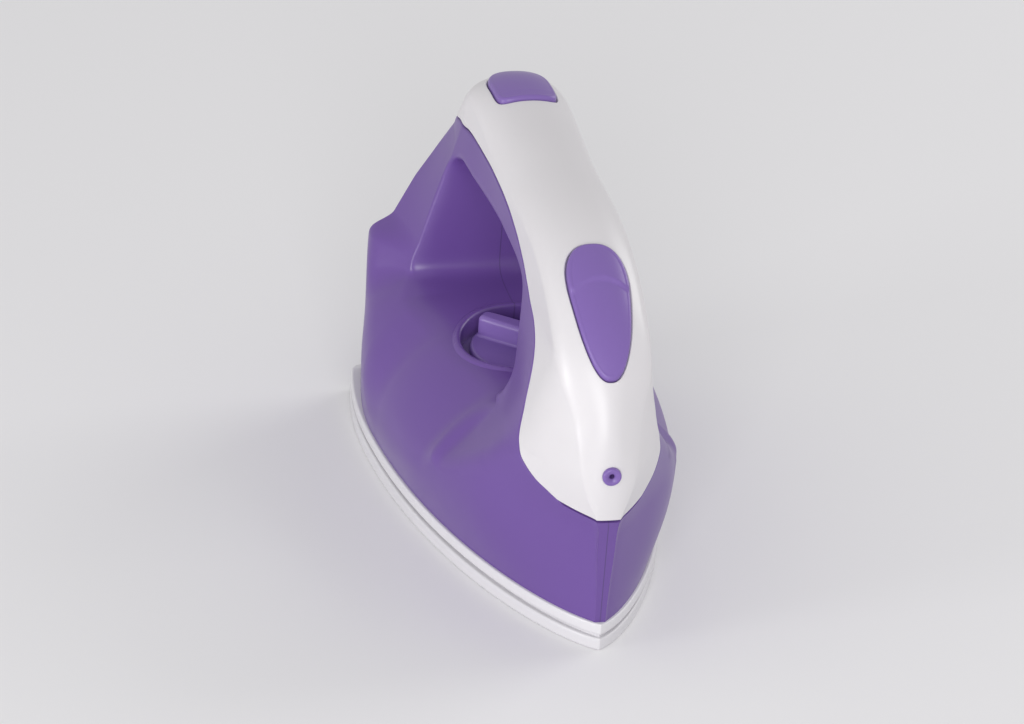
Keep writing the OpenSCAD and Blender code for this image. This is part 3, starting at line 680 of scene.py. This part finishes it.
def disc(x, y, z, radii, angles, way):
    """Flat disc or ring about a point: circles of the radii over the angles, upright where it faces
    along Y."""
    rho = np.array(radii, float)[:, None]
    a, b = rho * np.cos(angles), rho * np.sin(angles)
    places = (x + a, y, z + b) if way[1] else (x + a, y + b, z)
    return towards(grid(np.stack(np.broadcast_arrays(*places), -1)), way)


def on_circle(flat, middle, radius):
    """Flat points moved straight out or in to a circle about a middle."""
    q = flat - middle
    return q / np.linalg.norm(q, axis=1, keepdims=True) * radius + middle


def join(patches):
    """One patch of several, their points kept apart so that the edges between them stay crisp."""
    at, points, tris = 0, [], []
    for p, t in patches:
        points.append(p)
        tris.append(t + at)
        at += len(p)
    return np.concatenate(points), np.concatenate(tris)


def piece(name, patches, material, body, node):
    """Mesh object of the patches, in metres, smooth but for crisp edges; it stands for a frame's node."""
    points, tris = join(patches)
    tris = tris[np.linalg.norm(face_normals(points, tris), axis=1) > LEAST_AREA]
    mesh = bpy.data.meshes.new(name)
    mesh.vertices.add(len(points))
    mesh.vertices.foreach_set("co", (points * MM).astype(np.float32).ravel())
    mesh.loops.add(len(tris) * 3)
    mesh.loops.foreach_set("vertex_index", tris.astype(np.int32).ravel())
    mesh.polygons.add(len(tris))
    mesh.polygons.foreach_set("loop_start", np.arange(0, len(tris) * 3, 3, dtype=np.int32))
    mesh.update(calc_edges=True)
    mesh.polygons.foreach_set("use_smooth", np.ones(len(tris), bool))
    mesh.set_sharp_from_angle(angle=np.radians(CRISP))
    mesh.materials.append(material)
    obj = bpy.data.objects.new(name, mesh)
    bpy.context.scene.collection.objects.link(obj)
    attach(obj, body)
    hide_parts(node)
    return obj


# Materials

# Flow marks of a moulded wall: width, part of the noise used, darkest shade and swing of the gloss
FLOW_MM = 26.3
FLOW_RANGE = (0.2, 0.8)
FLOW_DARK = 0.98
GLOSS_SWING = 0.05
# Shallow waves of a moulded wall: width, height and strength
WAVE_MM = 14.3
WAVE_H = 0.2
WAVE_STRENGTH = 0.3
# Parting seam, measured from the middle plane: full colour up to here, and faded out from there on
SEAM_FROM = 0.08
SEAM_TO = 0.2
# Refraction of ABS, within what is usual
PLASTIC_IOR = 1.5
# Grain of plated steel; the real one is a tenth of a millimetre, too fine to show, so it is drawn coarser
GRAIN_MM = 1.11
GRAIN_RANGE = (0.3, 0.7)
GRAIN_SWING = 0.08


def colour(text):
    """Linear colour of an sRGB hex colour."""
    c = np.array([int(text[i:i + 2], 16) for i in (1, 3, 5)]) / 255
    return (*np.where(c <= 0.04045, c / 12.92, ((c + 0.055) / 1.055) ** 2.4).tolist(), 1.0)


def add(tree, kind, settings=None, **inputs):
    """Adds a shader node; an input given as a socket is linked, and any other is set. An input is named in
    words, or by i and its number where the node has several of one name."""
    n = tree.nodes.new(kind)
    for k, v in (settings or {}).items():
        setattr(n, k, v)
    for k, v in inputs.items():
        numbered = k[0] == "i" and k[1:].isdigit()
        socket = n.inputs[int(k[1:])] if numbered else n.inputs[k.replace("_", " ")]
        if isinstance(v, bpy.types.NodeSocket):
            tree.links.new(v, socket)
        else:
            socket.default_value = v
    return n


def new_material(name):
    """Material with an empty node tree."""
    m = bpy.data.materials.new(name)
    m.use_nodes = True
    m.node_tree.nodes.clear()
    return m


def plastic(name, base, roughness, seam=None):
    """Moulded plastic: a base colour and a gloss that both vary with broad flow marks, shallow waves in the
    surface, and, where a seam colour is given, the parting seam at Y = 0."""
    m = new_material(name)
    t = m.node_tree
    where = add(t, "ShaderNodeTexCoord").outputs["Object"]
    ease = {"interpolation_type": "SMOOTHSTEP"}
    low, high = FLOW_RANGE
    flow = add(t, "ShaderNodeTexNoise", Vector=where, Scale=1 / (FLOW_MM * MM), Detail=1.0,
               Roughness=0.5).outputs["Fac"]
    shade = add(t, "ShaderNodeMapRange", ease, Value=flow, From_Min=low, From_Max=high, To_Min=FLOW_DARK,
                To_Max=1.0).outputs["Result"]
    tint = add(t, "ShaderNodeMix", {"data_type": "RGBA", "blend_type": "MULTIPLY"}, i0=1.0, i6=colour(base),
               i7=shade).outputs[2]
    rough = add(t, "ShaderNodeMapRange", ease, Value=flow, From_Min=low, From_Max=high,
                To_Min=roughness - GLOSS_SWING, To_Max=roughness + GLOSS_SWING).outputs["Result"]
    wave = add(t, "ShaderNodeTexNoise", Vector=where, Scale=1 / (WAVE_MM * MM), Detail=0.0).outputs["Fac"]
    bump = add(t, "ShaderNodeBump", Strength=WAVE_STRENGTH, Distance=WAVE_H * MM,
               Height=wave).outputs["Normal"]
    if seam:
        y = add(t, "ShaderNodeSeparateXYZ", Vector=where).outputs["Y"]
        far = add(t, "ShaderNodeMath", {"operation": "ABSOLUTE"}, i0=y).outputs[0]
        line = add(t, "ShaderNodeMapRange", Value=far, From_Min=SEAM_FROM * MM,
                   From_Max=SEAM_TO * MM).outputs["Result"]
        tint = add(t, "ShaderNodeMix", {"data_type": "RGBA"}, i0=line, i6=colour(seam), i7=tint).outputs[2]
    shader = add(t, "ShaderNodeBsdfPrincipled", Base_Color=tint, Roughness=rough, Normal=bump,
                 IOR=PLASTIC_IOR)
    add(t, "ShaderNodeOutputMaterial", Surface=shader.outputs["BSDF"])
    return m


def metal(name, base, roughness):
    """Plated steel: metallic, its gloss broken by a fine grain."""
    m = new_material(name)
    t = m.node_tree
    where = add(t, "ShaderNodeTexCoord").outputs["Object"]
    low, high = GRAIN_RANGE
    fine = add(t, "ShaderNodeTexNoise", Vector=where, Scale=1 / (GRAIN_MM * MM), Detail=3.0).outputs["Fac"]
    rough = add(t, "ShaderNodeMapRange", Value=fine, From_Min=low, From_Max=high,
                To_Min=roughness - GRAIN_SWING, To_Max=roughness + GRAIN_SWING).outputs["Result"]
    shader = add(t, "ShaderNodeBsdfPrincipled", Base_Color=colour(base), Metallic=1.0, Roughness=rough)
    add(t, "ShaderNodeOutputMaterial", Surface=shader.outputs["BSDF"])
    return m


# Moulded ABS of the body: one deep purple right through, broad soft highlights that waver a little on the
# large flanks, and a thin darker line where the two halves meet
BODY = plastic("purple_abs_body", "#664891", 0.34, seam="#543e78")
# Moulded ABS of the dial, the buttons and the nozzle: a lighter purple, with small clear highlights along
# the rounded edges
TRIM = plastic("purple_abs_trim", "#7a5fa6", 0.33)
# Moulded ABS of the top cover: opaque off-white, whose soft highlight runs along the crown
COVER = plastic("white_abs_cover", "#d6d3d6", 0.33)
# Moulded ABS of the sole's rim: the same off-white a little cooler, bright along its rounded edges
RIM = plastic("white_abs_rim", "#d6d4d8", 0.33)
# Moulded ABS of the soleplate: a pearly light grey, a little duller than the rim
SOLE = plastic("pearl_abs_sole", "#d2d0d4", 0.34)
# Zinc-plated steel of screws, springs and washer: a grey metal with a satin, finely broken shine
STEEL = metal("zinc_plated_steel", "#a9aaad", 0.34)


# Buttons and springs

def crown_spot(kind, a):
    """Place on the crown, (x, z), at an angle of the front curve for kind 0, the steam button, or of the tail
    curve for kind 1, the rear button."""
    a = np.asarray(a, float)
    if kind == 0:
        d, z = front_curve(a)
        return np.stack([HALF_L - d, z], -1)
    d, z = tail_curve(np.minimum(a, 90))
    over = TOP_PER_DEGREE * np.maximum(a - 90, 0)
    return np.stack([HALF_L - d + over, z - CROWN_RAKE * over], -1)


def button_frame(kind):
    """Frame of a button on a chord of the crown: middle of the chord, direction along it, press axis at a
    right angle to it, and half-length."""
    a, b = (crown_spot(kind, end) for end in BUTTON_ENDS[kind])
    half = np.linalg.norm(b - a) / 2
    t = (b - a) / (2 * half)
    return (a + b) / 2, t, np.array([t[1], -t[0]]), half


def from_button(kind, along, across, up):
    """Points (x, y, z) at places of a button's frame: along its chord, across, and along its press axis."""
    o, t, n, _ = button_frame(kind)
    return np.stack([o[0] + along * t[0] + up * n[0], across, o[1] + along * t[1] + up * n[1]], -1)


def outside_button(kind, points, margin):
    """Above 0 outside a button's outline grown by a margin, and deep below it."""
    o, t, n, half = button_frame(kind)
    q = points[:, [0, 2]] - o
    along, up = q @ t, q @ n
    w = BUTTON_W[kind] / 2
    e = np.clip(along / (half + margin), -1, 1)
    if kind == 0:
        edge = w * arch(e, EGG_POWER) * (1 + EGG_LEAN * e) / EGG_WIDEST
    else:
        edge = w * arch(e, np.where(e < 0, *REAR_POWERS))
    across = np.abs(points[:, 1]) - edge * (w + margin) / w
    return np.maximum(np.maximum(across, np.abs(along) - half - margin), -OPENING_DEPTH - up)


def button(kind):
    """Cap, lip and stem of a button: rings of its outline, from the middle of its top over a rounded edge
    and down its wall, then out and in round the lip and down the stem. The top keeps the crown's curve
    along the chord, falls to the sides like the handle, and on the egg steps up near its upper end along
    an arc."""
    o, t, n, half = button_frame(kind)
    w = BUTTON_W[kind] / 2
    phi = np.linspace(0, 2 * np.pi, CAP_POINTS)
    c, s = np.cos(phi), np.sin(phi)
    power = 2 / (EGG_POWER if kind == 0 else np.where(c < 0, *REAR_POWERS))
    ea, ey = bent(c, power), bent(s, power)
    if kind == 0:
        ey = ey * (1 + EGG_LEAN * ea) / EGG_WIDEST
    q = crown_spot(kind, np.linspace(*BUTTON_ENDS[kind], 200)) - o
    along, over = q @ t, q @ n
    order = np.argsort(along)

    def top(a, y):
        side = np.minimum(np.abs(y) / (HANDLE_W / 2), CAP_LIMIT)
        fall = HANDLE_W * CAP_FALL[kind] * (1 - arch(side, ROUND_POWER))
        z = np.interp(a, along[order], over[order]) + PROUD - fall
        if kind == 0:
            line = half * (ARC_AT - ARC_BOW * (y / w) ** 2)
            z = z + ARC_RISE * smooth(-ARC_RUN, ARC_RUN, a - line) - ARC_SINK
        return z

    rows = []
    for k in np.linspace(0, 1, CAP_ROWS) ** CAP_SPREAD:
        a, y = ea * (half - CAP_FILLET) * k, ey * (w - CAP_FILLET) * k
        rows.append((a, y, top(a, y)))
    brim = rows[-1][2]
    rows += [(ea * (half - g), ey * (w - g), brim - drop) for g, drop in quarter(CAP_FILLET, 10)[1:]]
    a, y = ea * half, ey * w
    al, yl = ea * (half + LIP_W), ey * (w + LIP_W)
    one = np.ones_like(a)
    lip_foot, stem_foot = -(LIP_DEPTH + LIP_T) * one, -STEM_DEPTH * one
    rows += [(a, y, -LIP_DEPTH * one), (al, yl, -LIP_DEPTH * one), (al, yl, lip_foot),
             (STEM_R * c, STEM_R * s, lip_foot), (STEM_R * c, STEM_R * s, stem_foot),
             (0 * c, 0 * s, stem_foot)]
    return [closed(grid(np.stack([from_button(kind, *row) for row in rows])))]


def spring(kind):
    """Coil spring between a button's lip and its guide plate: a round wire along a helix round the press
    axis, with both ends closed."""
    low = -LIP_DEPTH - LIP_T - SPRING_H + WIRE_R + SPRING_GAP
    high = -LIP_DEPTH - LIP_T - WIRE_R - SPRING_GAP
    share = np.linspace(0, 1, 32 * SPRING_TURNS + 1)
    share = np.concatenate([[0], share, [1]])[:, None]
    wire = np.full_like(share, WIRE_R)
    wire[[0, -1]] = 0
    a, b = 2 * np.pi * SPRING_TURNS * share, np.linspace(0, 2 * np.pi, 13)
    r = SPRING_R + wire * np.cos(b)
    z = low + (high - low) * share + wire * np.sin(b)
    return [closed(grid(from_button(kind, r * np.cos(a), r * np.sin(a), z)))]


# Body halves and top cover

def nozzle_hole(points, margin):
    """Above 0 outside the nozzle's bore grown by a margin, and far behind the front."""
    away = np.hypot(points[:, 1], points[:, 2] - NOZZLE_Z) - NOZZLE_R - margin
    return np.maximum(away, HALF_L - NOZZLE_CUT - points[:, 0])


def pocket(points):
    """Above 0 outside the dial's pocket and its bead, and away from the deck's height."""
    away = np.hypot(points[:, 0] - DIAL_X, points[:, 1]) - POCKET_R - BEAD_W
    return np.maximum(away, np.abs(points[:, 2] - DECK_Z) - DECK_Z + FLOOR_Z)


def body_half(side):
    """Half of the body: sections round the hand hole, from the hole's edge to the outer edge, sunk under the
    cover; cut open for the dial's pocket, the buttons, the nozzle and, on the left, the screw seats."""
    u = stations((0, 0.06, 18), (0.06, 1, 150), (1, COVER_FROM - STEP_U, 60), (COVER_FROM + STEP_U, 2, 150),
                 (2, COVER_TO - STEP_U, 120), (COVER_TO + STEP_U, 3.5, 56), (3.5, 4, 50))[:-1]
    n = ring_len(u)
    s = table(u, STRIP_EDGE)
    s = np.where(u > COVER_TO, np.minimum(s, REAR_ROW), s)
    sunk_from = s + EDGE_GAP / n
    depth = np.where((u > COVER_FROM) & (u < COVER_TO), REBATE, 0)
    r = s * np.linspace(0, 1, BODY_ROWS) ** HOLE_CROWD
    r = np.concatenate([r[:, :-1] * (1 - EDGE_ROOM / n / s), s - EDGE_STEPS / n], 1)
    d, z = ring_spot(u, r)
    fall = np.zeros_like(r)
    fall[:, -len(EDGE_STEPS):] = EDGE_R - np.sqrt(EDGE_R ** 2 - (EDGE_R - EDGE_STEPS) ** 2)
    y = np.maximum(ring_y(u, r) - np.where(depth > 0, fall, 0), 0)
    near = np.stack([HALF_L - d, y, z], -1)
    t = np.linspace(0, 1, SUNK_ROWS)[:-1]
    r = np.concatenate([1 - (1 - sunk_from) * (1 - t) ** OUTER_CROWD, np.full_like(u, LAST_ROW),
                        np.ones_like(u)], 1)
    points = np.concatenate([near, sunk(u, r, sunk_from, depth)], 1) * [1, side, 1]
    skin = clip(towards(grid(points, wrap=True), (0, side, 0)), pocket)
    for kind in (0, 1):
        skin = clip(skin, lambda p: outside_button(kind, p, LIP_W + LIP_ROOM))
    skin = clip(skin, lambda p: nozzle_hole(p, NOZZLE_GAP))
    seats = [(HALF_L - sd, sz) for sd, sz in BODY_SCREWS] if side > 0 else []

    def seat(p, x, z):
        return np.maximum(np.hypot(p[:, 0] - x, p[:, 2] - z) - SEAT_R - SEAT_BREAK, SEAT_FROM - p[:, 1])

    def to_floor(p):
        q = on_circle(p[:, :2], [DIAL_X, 0], POCKET_R)
        return np.column_stack([q, np.full(len(q), FLOOR_Z)])

    def to_seat(p, x, z):
        q = on_circle(p[:, [0, 2]], [x, z], SEAT_R)
        return np.column_stack([q[:, 0], np.full(len(q), BODY_SEAT), q[:, 1]])

    for x, z in seats:
        skin = clip(skin, lambda p: seat(p, x, z))
    patches = border(skin, lambda p: np.abs(pocket(p)) < NEAR, BEAD, to_floor)
    patches.append(disc(DIAL_X, 0, FLOOR_Z, FLOOR_RINGS, side * np.linspace(0, np.pi, 97), (0, 0, 1)))
    for x, z in seats:
        patches += border(skin, lambda p: np.abs(seat(p, x, z)) < NEAR, SEAT_EDGE,
                          lambda p: to_seat(p, x, z))
        patches.append(disc(x, BODY_SEAT, z, (0, SEAT_R), np.linspace(0, 2 * np.pi, 49), (0, 1, 0)))
    return [skin] + patches


def top_cover():
    """Cover: the body's own outer surface between the two strip edges, from the lobe at the nose over the
    crown to the rear, cut open round the buttons and the nozzle, with rounded edges and walls."""
    u = stations((COVER_FROM + 3 * STEP_U, LOBE_TO, 60), (LOBE_TO, 2, 130), (2, COVER_TO - 3 * STEP_U, 150))
    s = table(u, STRIP_EDGE) + COVER_INSET / ring_len(u)
    q = np.linspace(-1, 1, COVER_ROWS)
    points = sunk(u, 1 - (1 - s) * np.abs(q) ** OUTER_CROWD, s, 0 * s)
    points[:, :, 1] *= np.sign(q)
    skin = towards(grid(points), (0.5, 0, 1))
    for kind in (0, 1):
        skin = clip(skin, lambda p: outside_button(kind, p, BUTTON_GAP + COVER_ROUND))
    skin = clip(skin, lambda p: nozzle_hole(p, COVER_ROUND))
    return [skin] + border(skin, lambda p: np.ones(len(p), bool), COVER_EDGE)


# Sole

def sole_side(inset):
    """Half of the sole's outline moved in: distances behind the nose tip, crowded at the nose, and
    half-widths, rounded in over the last millimetres at the heel."""
    start = (inset / NOSE_RISE) ** (1 / PLAN_POWER)
    t = np.linspace(0, 1, SOLE_POINTS)
    d = start + (IRON_L - inset - start) * (t * t * (1 + NOSE_CROWD - NOSE_CROWD * t))
    k = np.clip((d - (IRON_L - inset - SOLE_CORNER_RUN)) / SOLE_CORNER_RUN, 0, 1)
    return d, np.maximum(plan(d) - inset - SOLE_CORNER_W * (1 - np.sqrt(1 - k * k)), 0)


def sole_ring(inset, z):
    """Whole outline of the sole at an inset and height, as a closed ring of points."""
    d, y = sole_side(inset)
    half = np.column_stack([HALF_L - d, y, np.full(len(d), z)])
    return np.concatenate([half, half[::-1] * [1, -1, 1], half[:1]])


def sole_wall(profile):
    """Stack of the sole's outline by rows of (inset, height), from one to the next."""
    return closed(grid(np.stack([sole_ring(i, z) for i, z in profile])))


def sole_face(inset, z, way):
    """Flat face of the sole's outline, as a grid across its width."""
    d, y = sole_side(inset)
    q = np.linspace(-1, 1, SOLE_ROWS)
    g = np.stack(np.broadcast_arrays((HALF_L - d)[:, None], y[:, None] * q, z), -1)
    return towards(grid(g), (0, 0, way))


def soleplate():
    """Soleplate: its outline with rounded edges, a flat underside with blind steam holes and screw seats."""
    low = quarter(PLATE_ROUND, 7)
    high = [(i, SOLE_T - z) for i, z in low[::-1]]
    under = sole_face(PLATE_ROUND, 0.0, -1)
    spots = [(d, float(plan(d)) - STEAM_INSET, STEAM_R, STEAM_DEPTH)
             for d in np.linspace(STEAM_FROM, STEAM_TO, STEAM_ROWS)]
    spots += [(d, y, SOLE_SEAT_R, SOLE_SEAT_DEPTH) for d, y in SOLE_SCREWS]
    holes = [(HALF_L - d, s * y, hr, hd) for d, y, hr, hd in spots for s in (-1, 1)]

    def outside(p, x, y, hr):
        return np.hypot(p[:, 0] - x, p[:, 1] - y) - hr - HOLE_BREAK

    for x, y, hr, _ in holes:
        under = clip(under, lambda p: outside(p, x, y, hr))
    patches = []
    for x, y, hr, hd in holes:
        edge = [(0, 0), (0.1, 0.02), (0.2, 0.1), (HOLE_BREAK, 0.25), (HOLE_BREAK, hd)]
        patches += border(under, lambda p: np.abs(outside(p, x, y, hr)) < NEAR, edge)
        patches.append(disc(x, y, hd, (0, hr), np.linspace(0, 2 * np.pi, 41), (0, 0, -1)))
    return [under, sole_wall(low + high), sole_face(high[-1][0], SOLE_T, 1)] + patches


def sole_skirt():
    """Rim over the soleplate: a set-back groove band, then the pale rim with rounded edges and a flat
    top."""
    low = SOLE_T + GROOVE_H
    edge = quarter(RIM_ROUND, 7)
    rows = [(GROOVE_D, SOLE_T), (GROOVE_D, low)]
    rows += [(i, low + z) for i, z in edge]
    rows += [(i, BODY_Z - z) for i, z in edge[::-1]]
    return [sole_wall(rows), sole_face(RIM_ROUND, BODY_Z, 1)]


# Dial and nozzle

def lathe(profile, n=128):
    """Profile of (radius, height) pairs turned round the Z axis."""
    a = np.linspace(0, 2 * np.pi, n + 1)
    r, z = np.array(profile, float).T[:, :, None]
    return closed(grid(np.stack(np.broadcast_arrays(r * np.cos(a), r * np.sin(a), z), -1)))


def dial():
    """Dial: a disc with rounded edges on a spindle, and a grip bar, which is a superellipse outline raised
    over a hollow foot and closed by a rounded top."""
    top = DIAL_Z + DIAL_T
    profile = [(0, SPINDLE_FOOT), (SPINDLE_R, SPINDLE_FOOT), (SPINDLE_R, DIAL_Z),
               (DIAL_R - DIAL_BREAK, DIAL_Z), (DIAL_R, DIAL_Z + DIAL_BREAK)]
    profile += [(DIAL_R - i, top - z) for i, z in quarter(DIAL_ROUND, 8)[::-1]]
    profile += [(DIAL_FACE_R, top + DIAL_CROWN / 2), (0, top + DIAL_CROWN)]
    a = np.linspace(0, 2 * np.pi, 161)
    along, across = bent(np.cos(a), BAR_POWER), bent(np.sin(a), BAR_POWER)
    rows = [(BAR_L + g * BAR_FOOT_ENDS, BAR_W + g, top + z) for g, z in quarter(BAR_FOOT, 6)]
    rows += [(BAR_L - g, BAR_W - g * BAR_ROUND_SIDES, top + BAR_H - z)
             for g, z in quarter(BAR_ROUND, 9)[::-1]]
    rows.append((0, 0, top + BAR_H))
    bar = np.stack([np.column_stack([l * along, w * across, np.full(len(a), z)]) for l, w, z in rows])
    c, s = np.cos(np.radians(BAR_TURN)), np.sin(np.radians(BAR_TURN))
    bar = bar @ np.array([[c, s, 0], [-s, c, 0], [0, 0, 1]])
    return [(p + [DIAL_X, 0, 0], t) for p, t in (lathe(profile), closed(grid(bar)))]


def nozzle():
    """Spray nozzle: a turned plug with a rounded face and a countersunk hole, its axis along X."""
    face = float(front_back(NOZZLE_Z)) - NOZZLE_PROUD
    rim, foot = NOZZLE_SINK
    profile = [(0, face + NOZZLE_BORE), (NOZZLE_HOLE_R, face + NOZZLE_BORE), (NOZZLE_HOLE_R, face + foot),
               (NOZZLE_SINK_R, face + rim)]
    profile += [(NOZZLE_R - i, face + z) for i, z in quarter(NOZZLE_ROUND, 7)]
    profile += [(NOZZLE_R, face + NOZZLE_L), (0, face + NOZZLE_L)]
    points, tris = lathe(profile, 64)
    return [closed((np.column_stack([HALF_L - points[:, 2], points[:, 1], NOZZLE_Z + points[:, 0]]), tris))]


piece("body_right_skin", body_half(-1), BODY, "body", "body_right")
piece("body_left_skin", body_half(1), BODY, "body", "body_left")
piece("top_cover_skin", top_cover(), COVER, "body", "top_cover")
piece("soleplate_skin", soleplate(), SOLE, "body", "soleplate")
piece("sole_skirt_skin", sole_skirt(), RIM, "body", "sole_skirt")
piece("spray_nozzle_skin", nozzle(), TRIM, "body", "spray_nozzle")
piece("temperature_dial_skin", dial(), TRIM, "dial", "temperature_dial")
piece("steam_button_skin", button(0), TRIM, "steam_button", "steam_button")
piece("rear_button_skin", button(1), TRIM, "rear_button", "rear_button")

# A spring stands on its guide plate and gets a mesh of its own
for kind, name in enumerate(("steam", "rear")):
    coil = piece(name + "_spring_coil", spring(kind), STEEL, "body", name + "_button_spring")
    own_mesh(coil)

# Screws and washer stay as they are in the frame
for name in ("dial_washer", "dial_screw", "body_screws", "sole_screws"):
    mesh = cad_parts[name].data
    mesh.materials.clear()
    mesh.materials.append(STEEL)


# Stage, light and camera

def stage():
    """Pale floor, even sky light, a wide key light from the front, a small light from the right side and a
    fill light from the left."""
    h = FLOOR_HALF
    mesh = bpy.data.meshes.new("floor")
    mesh.from_pydata([(-h, -h, 0), (h, -h, 0), (h, h, 0), (-h, h, 0)], [], [(0, 1, 2, 3)])
    floor = bpy.data.objects.new("floor", mesh)
    bpy.context.scene.collection.objects.link(floor)
    m = new_material("pale_floor")
    shader = add(m.node_tree, "ShaderNodeBsdfPrincipled", Base_Color=colour("#e9e8ea"), Roughness=0.7)
    add(m.node_tree, "ShaderNodeOutputMaterial", Surface=shader.outputs["BSDF"])
    mesh.materials.append(m)
    world = bpy.data.worlds.new("sky")
    bpy.context.scene.world = world
    world.use_nodes = True
    sky = world.node_tree.nodes["Background"]
    sky.inputs["Color"].default_value = (1, 1, 1, 1)
    sky.inputs["Strength"].default_value = SKY_STRENGTH
    for name, place, size, power in LIGHTS:
        light = bpy.data.lights.new(name, "AREA")
        light.size = size
        light.energy = power
        lamp = bpy.data.objects.new(name, light)
        lamp.location = place
        lamp.rotation_mode = "QUATERNION"
        lamp.rotation_quaternion = (Vector(LIGHT_AIM) - Vector(place)).to_track_quat("-Z", "Y")
        bpy.context.scene.collection.objects.link(lamp)


def camera():
    """Camera on the photograph's line of sight, with a long lens, no shift and plain colours."""
    right = Vector(CAMERA_RIGHT).normalized()
    up = Vector(CAMERA_UP)
    up = (up - right * up.dot(right)).normalized()
    back = right.cross(up)
    data = bpy.data.cameras.new("camera")
    data.lens = LENS_MM
    data.sensor_width = SENSOR_MM
    data.clip_start = CLIP_START
    data.clip_end = CLIP_END
    cam = bpy.data.objects.new("camera", data)
    bpy.context.scene.collection.objects.link(cam)
    aim = Vector(CAMERA_AIM) - right * AIM_LEFT - up * AIM_DOWN
    cam.matrix_world = Matrix((right, up, back)).transposed().to_4x4()
    cam.location = aim + back * CAMERA_FAR
    bpy.context.scene.camera = cam
    bpy.context.scene.view_settings.view_transform = "Standard"


stage()
camera()
